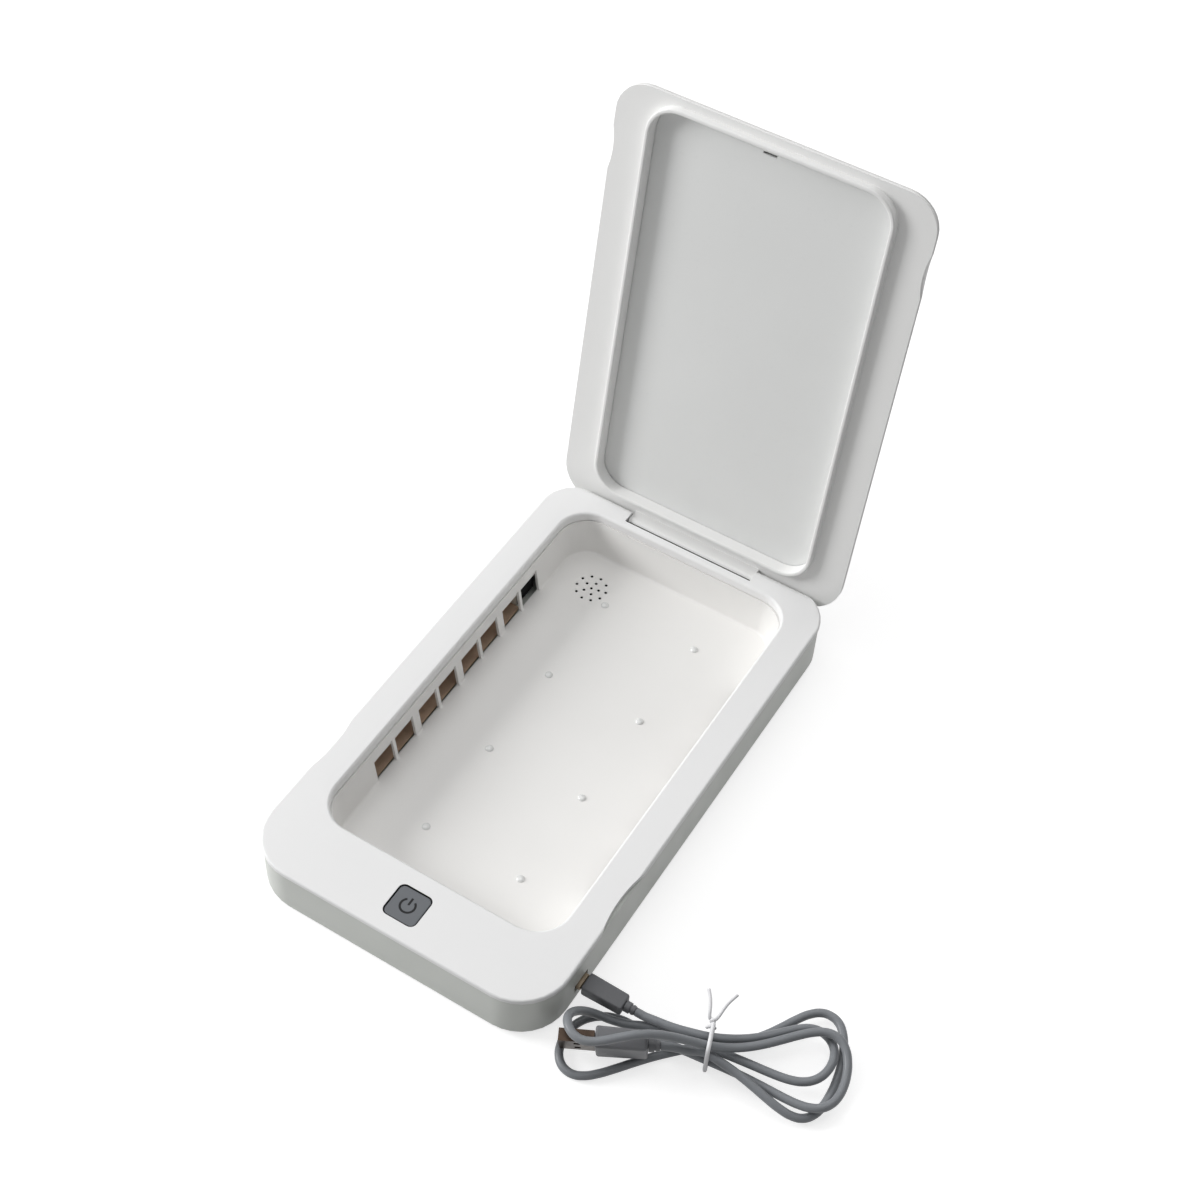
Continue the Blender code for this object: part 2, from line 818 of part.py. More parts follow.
def make_tub():
    steps = 4
    rings = [ring_at(tub_outline(tub_draft), tub_top)]
    for k in range(steps + 1):
        angle = deg(90.0 * k / steps)
        inset = tub_fillet * (1.0 - math.cos(angle))
        level = tub_floor_level + tub_fillet * (1.0 - math.sin(angle))
        grow = tub_draft * (level - tub_floor_level) / (tub_top - tub_floor_level)
        rings.append(ring_at(tub_outline(grow - inset), level))
    tub = loft("chamber_tub", rings, open_end=True)
    shell = tub.modifiers.new("wall", "SOLIDIFY")
    shell.thickness = tub_wall
    shell.offset = 1.0
    shell.use_even_offset = True
    settle(tub)
    flange_outlines = [tub_outline(tub_draft + tub_flange), tub_outline(tub_draft + tub_wall / 2)]
    flange = slab("tub_flange", flange_outlines, tub_top - tub_wall, tub_top)
    fuse(tub, flange)
    window_tool = bmesh.new()
    pair = window_width * 2 + window_mullion
    reach = tub_half_width + tub_wall * 2
    for k in range(window_pairs):
        near = window_start + k * window_pair_pitch
        for start in (near, near + pair - window_width):
            made = bmesh.ops.create_cube(window_tool, size=1.0)
            size = (reach * 2, window_width, window_top - tub_floor_level)
            bmesh.ops.scale(window_tool, vec=size, verts=made["verts"])
            centre = (0.0, start + window_width / 2, (window_top + tub_floor_level) / 2)
            bmesh.ops.translate(window_tool, vec=centre, verts=made["verts"])
    cut(tub, from_bmesh("windows", window_tool))
    rests = bmesh.new()
    for side in (-1, 1):
        for k in range(rest_rows):
            spot = (side * rest_half_spacing, -rest_first + k * rest_pitch, tub_floor_level - rest_height / 2)
            flatten = Matrix.Diagonal((1.0, 1.0, rest_height * 3 / 2 / rest_radius, 1.0))
            bmesh.ops.create_uvsphere(rests, u_segments=10, v_segments=6, radius=rest_radius,
                                      matrix=Matrix.Translation(spot) @ flatten)
    fuse(tub, from_bmesh("rests", rests))
    under = tub_floor_level - tub_wall
    vent = many_rods("vent_holes", vent_places(), vent_hole / 2, under - cut_overrun, tub_floor_level + cut_overrun, 8)
    cut(tub, vent)
    paint(tub, (0.80, 0.79, 0.77), 0.40)
    return settle_smooth(tub)


# Lamps and electronics

def bent_sheet(name, profile, start, end, thickness):
    """Sheet bent along Y from a profile in X and Z; it thickens away from the profile's left."""
    bm = bmesh.new()
    near = [bm.verts.new((x, start, z)) for x, z in profile]
    far = [bm.verts.new((x, end, z)) for x, z in profile]
    for k in range(len(profile) - 1):
        bm.faces.new((near[k], near[k + 1], far[k + 1], far[k]))
    obj = from_bmesh(name, bm)
    shell = obj.modifiers.new("sheet", "SOLIDIFY")
    shell.thickness = thickness
    shell.offset = 0.0
    shell.use_even_offset = True
    return obj


def make_lamp(side, label):
    half_sheet = reflector_sheet / 2
    low = reflector_low + half_sheet
    high = reflector_high - half_sheet
    back = reflector_outer - half_sheet
    bend = reflector_bend
    profile = [(reflector_inner, low), (back - bend, low), (back, low + bend), (back, high - bend), (back - bend, high),
               (reflector_upper_inner, high)]
    profile = [(side * x, z) for x, z in profile]
    reflector = bent_sheet("reflector_" + label, profile, -reflector_front, reflector_rear, reflector_sheet)
    settle(reflector)
    mend_normals(reflector)
    paint(reflector, (0.45, 0.41, 0.38), 0.35, 0.8)
    bore = lamp_diameter / 2 + fit_gap
    floor = floor_top + fit_gap
    for name, face, direction in (("front", -reflector_front - fit_gap, -1), ("rear", reflector_rear + fit_gap, 1)):
        y0, y1 = sorted((face, face + direction * holder_length))
        x0 = side * lamp_x - holder_width / 2
        holder = box("tube_holder_%s_%s" % (label, name), (x0, y0, floor), (x0 + holder_width, y1, floor + holder_height))
        bevel(holder, holder_round, 2)
        settle(holder)
        lamp_end = -lamp_front if direction < 0 else lamp_rear
        stop = lamp_end + direction * fit_gap
        start = face - direction * cut_overrun
        socket = rod("socket_%s_%s" % (label, name), bore, (side * lamp_x, (start + stop) / 2, lamp_level),
                     abs(stop - start), "Y", 20)
        cut(holder, socket)
        paint(holder, (0.75, 0.74, 0.70), 0.6)
        settle_smooth(holder)
    middle = (lamp_rear - lamp_front) / 2
    lamp = rod("uv_tube_" + label, lamp_diameter / 2, (side * lamp_x, middle, lamp_level),
               lamp_front + lamp_rear, "Y", 20)
    bevel(lamp, lamp_diameter / 8, 1)
    settle_smooth(lamp)
    paint(lamp, (0.62, 0.60, 0.66), 0.08)


def mend_normals(obj):
    bm = bmesh.new()
    bm.from_mesh(obj.data)
    bmesh.ops.recalc_face_normals(bm, faces=bm.faces)
    bm.to_mesh(obj.data)
    bm.free()


def make_board():
    points = [
        (-board_half_width, -board_front), (board_half_width, -board_front), (board_half_width, -board_step),
        (board_right, -board_step), (board_right, -board_tab_rear), (board_tab_left, -board_tab_rear),
        (board_tab_left, -board_rear), (-board_half_width, -board_rear),
    ]
    board = slab("circuit_board", [points], board_top - board_thickness, board_top)
    paint(board, (0.05, 0.22, 0.10), 0.45)
    seat = board_top + fit_gap
    half = switch_size / 2
    switch = box("tact_switch", (button_x - half, -button_y - half, seat),
                 (button_x + half, -button_y + half, board_top + switch_height))
    well_top = board_top + switch_height
    well = rod("switch_well", plunger_radius + fit_gap, (button_x, -button_y, well_top),
               plunger_bore_depth * 2)
    bevel(switch, switch_size / 20, 1)
    settle(switch)
    cut(switch, well)
    paint(switch, (0.30, 0.30, 0.30), 0.4, 0.4)
    settle_smooth(switch)
    plunger = rod("switch_plunger", plunger_radius, (button_x, -button_y, (plunger_bottom + plunger_top) / 2),
                  plunger_top - plunger_bottom, sides=20)
    smooth(paint(plunger, (0.05, 0.05, 0.05), 0.5))

    length, width, height = transformer_size
    coil = box("transformer", (transformer_x - length / 2, -board_part_y - width / 2, seat),
               (transformer_x + length / 2, -board_part_y + width / 2, seat + height))
    core_low = (transformer_x - transformer_core, -board_part_y - width / 2 - sink, seat + height / 4)
    core_high = (transformer_x + transformer_core, -board_part_y + width / 2 + sink, seat + height + sink)
    bevel(coil, height / 12, 1)
    settle(coil)
    fuse(coil, box("transformer_core", core_low, core_high))
    paint(coil, (0.30, 0.20, 0.06), 0.5)
    settle_smooth(coil)
    radius = capacitor_diameter / 2
    dip = radius / 6
    profile = [(0.0, capacitor_height), (radius - dip, capacitor_height), (radius, capacitor_height - dip),
               (radius, dip * 4), (radius - dip, dip * 3), (radius, dip * 2), (radius, 0.0), (0.0, 0.0)]
    can = turned("capacitor", profile)
    can.location = (-capacitor_x, -board_part_y, seat)
    paint(can, (0.04, 0.05, 0.10), 0.35)
    settle_smooth(can)

    length, width, height = chip_size
    chip = box("driver_chip", (-chip_x - length / 2, -board_part_y - width / 3, seat + height / 5),
               (-chip_x + length / 2, -board_part_y + width / 3, seat + height))
    for k in range(chip_legs):
        x = -chip_x + (k - (chip_legs - 1) / 2) * chip_pitch
        half_leg = chip_pitch / 6
        fuse(chip, box("chip_leg_%d" % k, (x - half_leg, -board_part_y - width / 2, seat),
                       (x + half_leg, -board_part_y + width / 2, seat + height / 2)))
    paint(chip, (0.03, 0.03, 0.03), 0.4)
    settle(chip)
    length, width, height = sensor_size
    rear = -board_rear - width
    sensor = box("lid_sensor", (-sensor_x - length / 2, rear - width, seat), (-sensor_x + length / 2, rear, seat + height))
    bevel(sensor, width / 4, 1)
    paint(sensor, (0.03, 0.03, 0.03), 0.5)
    settle(sensor)

    depth, width, height = socket_size
    front = base_width / 2 - housing_inset - housing_wall - socket_inset
    receptacle = box("usb_receptacle", (front - depth, -port_y - width / 2, port_level - height / 2),
                     (front, -port_y + width / 2, port_level + height / 2))
    mouth_width, mouth_height = socket_mouth
    mouth_low = (front - depth + sink, -port_y - mouth_width / 2, port_level - mouth_height / 2)
    mouth_high = (front + cut_overrun, -port_y + mouth_width / 2, port_level + mouth_height / 2)
    cut(receptacle, box("receptacle_mouth", mouth_low, mouth_high))
    leg_low = (front - depth, -port_y - width / 2, board_top + fit_gap)
    leg_high = (front - sink, -port_y + width / 2, port_level - height / 2 + sink / 2)
    if leg_high[2] > leg_low[2]:
        fuse(receptacle, box("receptacle_foot", leg_low, leg_high))
    paint(receptacle, (0.55, 0.55, 0.56), 0.3, 0.9)
    settle(receptacle)


def make_button():
    top = deck_top - button_sink
    collar_top = deck_under - fit_gap
    half = button_size / 2
    outline = shifted(rounded(half, -half, half, button_corner, button_corner, 5), button_x, -button_y)
    button = slab("power_button", [outline], collar_top - sink, top)
    round_rim(button, top, button_edge_round, 2)
    half = half + button_collar
    collar = shifted(rounded(half, -half, half, button_corner, button_corner, 3), button_x, -button_y)
    fuse(button, slab("button_collar", [collar], collar_top - button_collar_height, collar_top))
    stem_low = plunger_top + fit_gap
    stem_high = collar_top - button_collar_height / 2
    fuse(button, rod("button_stem", button_stem, (button_x, -button_y, (stem_low + stem_high) / 2),
                     stem_high - stem_low, sides=20))
    # Power sign sunk in the cap: an open ring with a short upright bar
    count = 20
    gap = 38.0
    ring = []
    for k in range(count + 1):
        angle = deg(90.0 + gap + (360.0 - gap * 2) * k / count)
        ring.append((button_x + icon_radius * math.cos(angle), -button_y + icon_radius * math.sin(angle)))
    outer = widened(ring, icon_line / 2)
    cut(button, slab("icon_ring", [outer], top - icon_depth, top + cut_overrun))
    bar = ((button_x - icon_line / 2, -button_y + icon_radius / 8), (button_x + icon_line / 2, -button_y + icon_radius * 5 / 4))
    cut(button, box("icon_bar", (*bar[0], top - icon_depth), (*bar[1], top + cut_overrun)))
    paint(button, button_grey, 0.38)
    settle_smooth(button)
    return button


def widened(line, half):
    """Closed outline at an even distance on both sides of an open line."""
    left = []
    right = []
    for k, (x, y) in enumerate(line):
        before = line[max(k - 1, 0)]
        after = line[min(k + 1, len(line) - 1)]
        along = Vector((after[0] - before[0], after[1] - before[1])).normalized()
        left.append((x - along.y * half, y + along.x * half))
        right.append((x + along.y * half, y - along.x * half))
    return left + list(reversed(right))


# Feet, screws, pad and hinge pin

def make_small_parts():
    top = housing_bottom + foot_recess - fit_gap
    radius = foot_diameter / 2
    for (x, y), label in zip(foot_places(), ("front_left", "rear_left", "front_right", "rear_right")):
        profile = [(0.0, top), (radius, top), (radius, foot_round), (radius - foot_round, 0.0), (0.0, 0.0)]
        foot = turned("foot_" + label, profile)
        foot.location = (x, y, 0.0)
        paint(foot, (0.05, 0.05, 0.05), 0.8)
        settle_smooth(foot)
    head_top = post_recess - fit_gap
    shaft = screw_shaft / 2
    head = screw_head / 2
    for (x, y), label in zip(screw_places(), ("front_left", "rear_left", "front_right", "rear_right")):
        profile = [(0.0, head_top + screw_length), (shaft / 2, head_top + screw_length),
                   (shaft, head_top + screw_length - shaft), (shaft, head_top), (head, head_top),
                   (head, head_top - screw_head_height / 2), (head * 2 / 3, head_top - screw_head_height),
                   (0.0, head_top - screw_head_height)]
        screw = turned("screw_" + label, profile, 16)
        screw.location = (x, y, 0.0)
        settle(screw)
        bottom = head_top - screw_head_height
        for k, (long, short) in enumerate(((head, screw_slot / 2), (screw_slot / 2, head))):
            cut(screw, box("drive_%s_%d" % (label, k), (x - long / 2, y - short / 2, bottom - cut_overrun),
                           (x + long / 2, y + short / 2, bottom + screw_head_height / 2)))
        paint(screw, (0.50, 0.50, 0.52), 0.35, 1.0)
        settle_smooth(screw)
    pad_low = floor_top + fit_gap
    pad = rod("aroma_pad", pad_diameter / 2, (-vent_x, vent_y, pad_low + pad_thickness / 2), pad_thickness)
    smooth(paint(pad, (0.70, 0.66, 0.55), 0.95))
    pin = rod("hinge_pin", pin_diameter / 2, (0.0, hinge_y, hinge_z), pin_reach * 2, "X", 12)
    smooth(paint(pin, (0.60, 0.60, 0.62), 0.3, 1.0))


# Lid, modelled shut and then turned about the hinge

def lid_outline(side_inset=0.0, front_inset=0.0, rear_inset=0.0, steps=8):
    grow = side_inset * lid_corner_growth_share
    return rounded(lid_half_width - side_inset, -lid_front + front_inset, base_length / 2 - rear_inset,
                   lid_front_corner + grow, rear_corner + grow, steps)


def dome_step(degrees, share):
    """Inset and rise along an arc that starts at an angle from upright and ends level."""
    rise = lid_height - lid_rim - lid_gap - lid_shoulder_start
    start = deg(degrees)
    radius = rise / (1.0 - math.sin(start))
    angle = start + (math.pi / 2 - start) * share
    return radius * (math.cos(start) - math.cos(angle)), radius * (math.sin(angle) - math.sin(start))


def dome_rings():
    rings = [(0.0, 0.0, 0.0, lid_shell_level), (0.0, 0.0, 0.0, lid_shell_level + lid_shoulder_start)]
    for k in range(1, lid_dome_steps + 1):
        rise_share = math.sin(math.pi / 2 * k / lid_dome_steps)
        side_share = arc_share(lid_side_degrees, rise_share)
        end_share = arc_share(lid_end_degrees, rise_share)
        side, rise = dome_step(lid_side_degrees, side_share)
        end, _ = dome_step(lid_end_degrees, end_share)
        rings.append((side, end, side, lid_shell_level + lid_shoulder_start + rise))
    return rings


def arc_share(degrees, rise_share):
    """Share of the arc at which the dome has risen by a share of its height."""
    start = deg(degrees)
    level = math.sin(start) + rise_share * (1.0 - math.sin(start))
    return (math.asin(min(level, 1.0)) - start) / (math.pi / 2 - start)


def lip_outline(inset=0.0, steps=8):
    """Lip that hangs into the chamber's opening when the lid is shut."""
    corner = lip_corner - inset
    return rounded(opening_half_width - lip_clearance - inset, -opening_front + lip_clearance + inset,
                   lip_rear - inset, corner, corner, steps)


def lid_scoops(name, low, high):
    return [scoop("%s_%d" % (name, side), side, lid_half_width, lid_scoop_chord, lid_scoop_depth,
                  lid_scoop_centre, low, high) for side in (-1, 1)]


def make_lid(lid):
    rings = [ring_at(lid_outline(side, end, rear), level) for side, end, rear, level in dome_rings()]
    cover = loft("lid_cover", rings, open_end=True)
    shell = cover.modifiers.new("wall", "SOLIDIFY")
    shell.thickness = lid_wall
    shell.offset = -1.0
    shell.use_even_offset = True
    settle(cover)
    for tool in lid_scoops("cover_scoop", lid_shell_level - cut_overrun, border_level + lid_height + cut_overrun):
        cut(cover, tool)
    paint(cover, white_plastic, 0.35)
    settle_smooth(cover)

    ring_top = border_level + panel_recess - fit_gap
    plate = slab("lid_frame", [lid_outline(), lip_outline(lip_thickness / 2)], border_level, border_level + lid_rim)
    lip = slab("lip_ring", [lip_outline(), lip_outline(lip_thickness)], border_level - lip_height, ring_top)
    round_rim(lip, border_level - lip_height, lip_round, 3)
    fuse(plate, lip)
    barrel = rod("knuckle", knuckle_radius, (0.0, hinge_y, hinge_z), knuckle_half * 2, "X", 28)
    web = box("knuckle_web", (-knuckle_half, hinge_y - knuckle_radius, hinge_z),
              (knuckle_half, hinge_y + knuckle_radius, border_level + lid_rim / 2))
    fuse(plate, barrel, web)
    cut(plate, rod("pin_bore_lid", pin_diameter / 2 + fit_gap, (0.0, hinge_y, hinge_z), knuckle_half * 3, "X", 12))
    for tool in lid_scoops("frame_scoop", border_level - lip_height, lid_shell_level + cut_overrun):
        cut(plate, tool)
    paint(plate, white_plastic, 0.38)
    settle_smooth(plate)

    face = border_level + panel_recess
    panel = slab("lid_panel", [lip_outline(lip_thickness - panel_lap)], face, face + panel_thickness)
    cut(panel, box("panel_slot", (-slot_x - slot_length / 2, -slot_y - slot_width / 2, face - cut_overrun),
                   (-slot_x + slot_length / 2, -slot_y + slot_width / 2, face + panel_thickness + cut_overrun)))
    paint(panel, panel_white, 0.45)
    settle_smooth(panel)
    length, width, height = magnet_size
    low = face + panel_thickness + fit_gap
    magnet = box("lid_magnet", (-magnet_x - length / 2, -magnet_y - width / 2, low),
                 (-magnet_x + length / 2, -magnet_y + width / 2, low + height))
    bevel(magnet, height / 8, 1)
    paint(magnet, (0.55, 0.55, 0.58), 0.25, 1.0)
    settle(magnet)
    for piece in (cover, plate, panel, magnet):
        hang_on(piece, lid, (0.0, hinge_y, hinge_z))
    lid.rotation_euler = (-open_angle, 0.0, 0.0)


def hang_on(piece, joint, axis_point):
    """Give a piece its origin on the joint's axis and hang it on the joint's empty."""
    piece.data.transform(Matrix.Translation(piece.location))
    piece.data.transform(Matrix.Translation(-Vector(axis_point)))
    piece.location = (0.0, 0.0, 0.0)
    piece.parent = joint


def open_reach():
    """Farthest point behind the box that the open lid reaches."""
    reach = base_length / 2
    for side, end, rear, level in dome_rings():
        for y in (-lid_front + end, base_length / 2 - rear):
            out = (y - hinge_y) * math.cos(open_angle) + (level - hinge_z) * math.sin(open_angle)
            reach = max(reach, hinge_y + out)
    return reach


# Cable

def ease(value):
    value = min(max(value, 0.0), 1.0)
    return value * value * (3.0 - 2.0 * value)


def loop_path(index):
    """One loop of the hank, from the waist out to its fold and back to the waist."""
    side, reach, half, shift, level_out, level_back = loop_sizes[index]
    leave, high, back, low = climb_shares[index]
    points = []
    for k in range(loop_points):
        t = k / loop_points
        wave = math.sin(math.pi * t)
        across = waist_across[index] + (waist_across[index + 1] - waist_across[index]) * ease(t)
        across += half * fold_swell_share * math.sin(math.tau * t) * wave ** fold_share + shift * wave * wave
        if t < 0.5:
            climb = ease((t - leave) / (high - leave))
            waist = waist_level[index]
        else:
            climb = ease((1.0 - t - back) / (low - back))
            waist = waist_level[index + 1]
        level = level_out + (level_back - level_out) * ease((t - turn_over_shares[0]) / turn_over_shares[1])
        points.append(Vector((side * reach * wave, across, waist + (level - waist) * climb)))
    return points


def bridge(start, start_way, end, end_way, count):
    """Smooth run between two points that leaves and arrives along given directions."""
    span = (end - start).length
    a = start_way.normalized() * span
    b = end_way.normalized() * span
    points = []
    for k in range(count + 1):
        t = k / count
        points.append(start * (2 * t ** 3 - 3 * t ** 2 + 1) + a * (t ** 3 - 2 * t ** 2 + t)
                      + end * (-2 * t ** 3 + 3 * t ** 2) + b * (t ** 3 - t ** 2))
    return points


def hank_frame():
    return Matrix.Translation((hank_x, -hank_y, 0.0)) @ Matrix.Rotation(deg(hank_turn_degrees), 4, "Z")


def usb_frame():
    turn = Matrix.Rotation(deg(usb_turn_degrees), 4, "Z")
    tilt = Matrix.Rotation(deg(-usb_tilt_degrees), 4, "Y")
    lean = Matrix.Rotation(deg(usb_lean_degrees), 4, "X")
    return Matrix.Translation(usb_origin) @ turn @ tilt @ lean


def plug_faces():
    """Levels along X of the device plug: tip start, body start, body end, relief end."""
    wall = base_width / 2
    body = wall + plug_stand
    return wall, body, body + plug_size[0], body + plug_size[0] + fit_gap + plug_relief_length


def make_device_plug(carrier):
    wall, body, end, relief_end = plug_faces()
    length, width, height = tip_size
    tip_end = body - fit_gap
    tip = box("micro_tip", (tip_end - length, -port_y - width / 2, port_level - height / 2),
              (tip_end, -port_y + width / 2, port_level + height / 2), carrier)
    bevel(tip, tip_chamfer, 1)
    settle(tip)
    depth, bore_width, bore_height = tip_bore
    start = tip_end - length
    cut(tip, box("tip_bore", (start - cut_overrun, -port_y - bore_width / 2, port_level - bore_height / 2),
                 (start + depth, -port_y + bore_width / 2, port_level + bore_height / 2), carrier))
    paint(tip, (0.60, 0.60, 0.62), 0.28, 1.0)
    settle(tip)
    length, width, height = plug_size
    plug = tapered("micro_overmould", length, width, height, plug_taper_share, plug_round, carrier)
    plug.location = (body, -port_y, port_level)
    paint(plug, cable_grey, 0.5)
    relief = relief_piece("micro_relief", plug_relief_diameter, plug_relief_length, carrier)
    relief.location = (end + fit_gap, -port_y, port_level)
    relief.rotation_euler = (0.0, deg(90.0), 0.0)
    paint(relief, cable_grey, 0.55)


def tapered(name, length, width, height, share, radius, parent):
    """Moulded plug body along +X whose rear end is a little smaller than its front."""
    bm = bmesh.new()
    bmesh.ops.create_cube(bm, size=1.0)
    bmesh.ops.scale(bm, vec=(length, width, height), verts=bm.verts)
    bmesh.ops.translate(bm, vec=(length / 2, 0.0, 0.0), verts=bm.verts)
    rear = [v for v in bm.verts if v.co.x > length / 2]
    bmesh.ops.scale(bm, vec=(1.0, share, share), verts=rear)
    obj = from_bmesh(name, bm, parent)
    bevel(obj, radius, 3)
    return settle_smooth(obj)


def relief_piece(name, diameter, length, parent):
    """Strain relief turned about its own Z, with one groove."""
    radius = diameter / 2
    groove = radius / 8
    step = length / 6
    profile = [(0.0, length), (radius - groove * 2, length), (radius - groove, length - step), (radius - groove, length - step * 2),
               (radius - groove * 2, length - step * 2), (radius - groove * 2, length - step * 3),
               (radius, length - step * 3), (radius, 0.0), (0.0, 0.0)]
    obj = turned(name, profile, 16, parent)
    return settle_smooth(obj)


def make_supply_plug(carrier):
    """USB plug in its own frame: +X runs from the shell to the cable, origin at the body's front."""
    length, width, height = usb_shell
    wall = usb_shell_wall
    shell = box("usb_a_shell", (-fit_gap - length, -width / 2, -height / 2), (-fit_gap, width / 2, height / 2), carrier)
    hollow_low = (-fit_gap - length - cut_overrun, -width / 2 + wall, -height / 2 + wall)
    hollow_high = (-fit_gap - wall, width / 2 - wall, height / 2 - wall)
    cut(shell, box("shell_hollow", hollow_low, hollow_high, carrier))
    for k, z in enumerate((-usb_hole_half_spacing, usb_hole_half_spacing)):
        half = usb_hole / 2
        x = -fit_gap - usb_hole_reach
        cut(shell, box("shell_hole_%d" % k, (x - half, -width, z - half), (x + half, width, z + half), carrier))
    paint(shell, (0.62, 0.62, 0.63), 0.28, 1.0)
    settle(shell)
    t_length, t_width, t_height = usb_tongue
    t_high = width / 2 - wall - fit_gap
    tongue = box("usb_a_tongue", (-fit_gap * 2 - wall - t_length, t_high - t_width, -t_height / 2),
                 (-fit_gap * 2 - wall, t_high, t_height / 2), carrier)
    paint(tongue, (0.04, 0.04, 0.04), 0.5)
    length, width, height = usb_body
    body = tapered("usb_a_overmould", length, width, height, usb_body_taper_share, usb_body_round, carrier)
    paint(body, cable_grey, 0.5)
    relief = relief_piece("usb_a_relief", usb_relief_diameter, usb_relief_length, carrier)
    relief.location = (length + fit_gap, 0.0, 0.0)
    relief.rotation_euler = (0.0, deg(90.0), 0.0)
    paint(relief, cable_grey, 0.55)


def cable_route():
    """Centreline in the hank's own frame: lead from the device plug, loops, run to the supply plug."""
    place = hank_frame().inverted()
    plug_end = Vector((plug_faces()[3] + fit_gap, -port_y, port_level))
    start = place @ plug_end
    start_way = (place.to_3x3() @ Vector((1.0, 0.0, 0.0))).normalized()
    usb_end = Vector((usb_body[0] + fit_gap * 2 + usb_relief_length, 0.0, 0.0))
    end = place @ (usb_frame() @ usb_end)
    end_way = (place.to_3x3() @ (usb_frame().to_3x3() @ Vector((-1.0, 0.0, 0.0)))).normalized()
    loops = []
    for index in range(len(loop_sizes)):
        loops.extend(loop_path(index))
    last = Vector((0.0, waist_across[-1], waist_level[-1]))
    first_way = loops[1] - loops[0]
    lead = [start, start + start_way * cable_diameter / 2]
    lead.extend(bridge(start + start_way * cable_diameter, start_way, loops[0], first_way, 9)[:-1])
    tail = bridge(last, last - loops[-1], end - end_way * cable_diameter, end_way, 6)
    tail.extend([end - end_way * cable_diameter / 2, end])
    return lead, loops, tail


def route_blocks():
    """Plug bodies that the cable keeps clear of: frame and two corners of each."""
    place = hank_frame().inverted()
    wall, body, end, relief_end = plug_faces()
    length, width, height = plug_size
    device = place @ Matrix.Translation((body, -port_y, port_level))
    blocks = [(device, (-plug_stand, -width / 2, -height / 2), (relief_end - body, width / 2, height / 2))]
    supply = place @ usb_frame()
    length, width, height = usb_body
    reach = length + fit_gap + usb_relief_length
    blocks.append((supply, (0.0, -width / 2, -height / 2), (reach, width / 2, height / 2)))
    length, width, height = usb_shell
    blocks.append((supply, (-length, -width / 2, -height / 2), (0.0, width / 2, height / 2)))
    return [(np.array(frame), np.array(frame.inverted()), np.array(low), np.array(high))
            for frame, low, high in blocks]


def block_push(route, block):
    """How far each point of the route has to move to stay clear of a block."""
    frame, inverse, low, high = block
    local = route @ inverse[:3, :3].T + inverse[:3, 3]
    nearest = np.clip(local, low, high)
    away = local - nearest
    distance = np.linalg.norm(away, axis=1)
    wanted = cable_diameter / 2 + block_gap
    short = np.clip(wanted - distance, 0.0, None) * (distance > 0.0)
    push = away / np.maximum(distance, fit_gap / 100)[:, None] * short[:, None]
    return push @ frame[:3, :3].T


def settle_route(points):
    """Points of the same route once its turns lie clear of each other, the plugs and the table."""
    route = np.array([tuple(p) for p in points])
    count = len(route)
    spans = np.linalg.norm(np.diff(route, axis=0), axis=1)
    base = np.repeat(np.arange(count - 1), route_parts)
    part = np.tile(np.arange(route_parts) / route_parts, count - 1)
    along = np.concatenate([[0.0], np.cumsum(spans)])
    place = along[base] * (1.0 - part) + along[base + 1] * part
    apart = np.abs(place[:, None] - place[None]) > cable_diameter * 4
    from_ends = np.minimum(along, along[-1] - along)
    free = np.ones(count, bool)
    free[:held_points] = False
    free[-held_points:] = False
    open_run = (from_ends > plug_relief_length * 2)[:, None]
    blocks = route_blocks()
    wanted = cable_diameter + route_gap
    for _ in range(route_steps):
        fine = route[base] * (1.0 - part)[:, None] + route[base + 1] * part[:, None]
        between = fine[:, None] - fine[None]
        distance = np.linalg.norm(between, axis=2)
        close = apart & (distance < wanted)
        short = np.where(close, (wanted - distance) / np.maximum(distance, fit_gap / 100), 0.0)
        push = (between * short[:, :, None]).sum(axis=1) / np.maximum(close.sum(axis=1), 1)[:, None]
        move = np.zeros_like(route)
        weight = np.zeros(count)
        np.add.at(move, base, push * (1.0 - part)[:, None])
        np.add.at(move, base + 1, push * part[:, None])
        np.add.at(weight, base, (1.0 - part) * close.any(axis=1))
        np.add.at(weight, base + 1, part * close.any(axis=1))
        move = move / np.maximum(weight, 1.0)[:, None] * push_share
        for block in blocks:
            move += block_push(route, block) * open_run * push_share * 2
        before = route[1:-1] - route[:-2]
        after = route[2:] - route[1:-1]
        step = (np.linalg.norm(before, axis=1) + np.linalg.norm(after, axis=1)) / 2
        cosine = (before * after).sum(axis=1) / np.linalg.norm(before, axis=1) / np.linalg.norm(after, axis=1)
        turn = np.arccos(np.clip(cosine, -1.0, 1.0))
        sharp = np.clip(least_bend * turn / step - 1.0, 0.0, 1.0)[:, None]
        ease_in = (after - before) / 2 * sharp * bend_share
        move[1:-1] += ease_in
        move[:-2] -= ease_in / 4
        move[2:] -= ease_in / 4
        calm = (route[1:-3] * 4 + route[3:-1] * 4 - route[:-4] - route[4:] - route[2:-2] * 6) / 16
        move[2:-2] += calm * calm_share
        route[free] += move[free]
        for _ in range(3):
            step = np.diff(route, axis=0)
            reach = np.linalg.norm(step, axis=1)
            pull = step * ((reach - spans) / reach)[:, None] * span_share
            route[:-1][free[:-1]] += pull[free[:-1]]
            route[1:][free[1:]] -= pull[free[1:]]
        at_tie = np.clip(2.0 - np.abs(route[:, 0]) / cable_diameter, 0.0, 1.0)
        lowest = cable_diameter / 2 + table_gap + (tie_diameter + tie_clearance) * at_tie
        route[:, 2] = np.maximum(route[:, 2], lowest)
    return [Vector(p) for p in route]


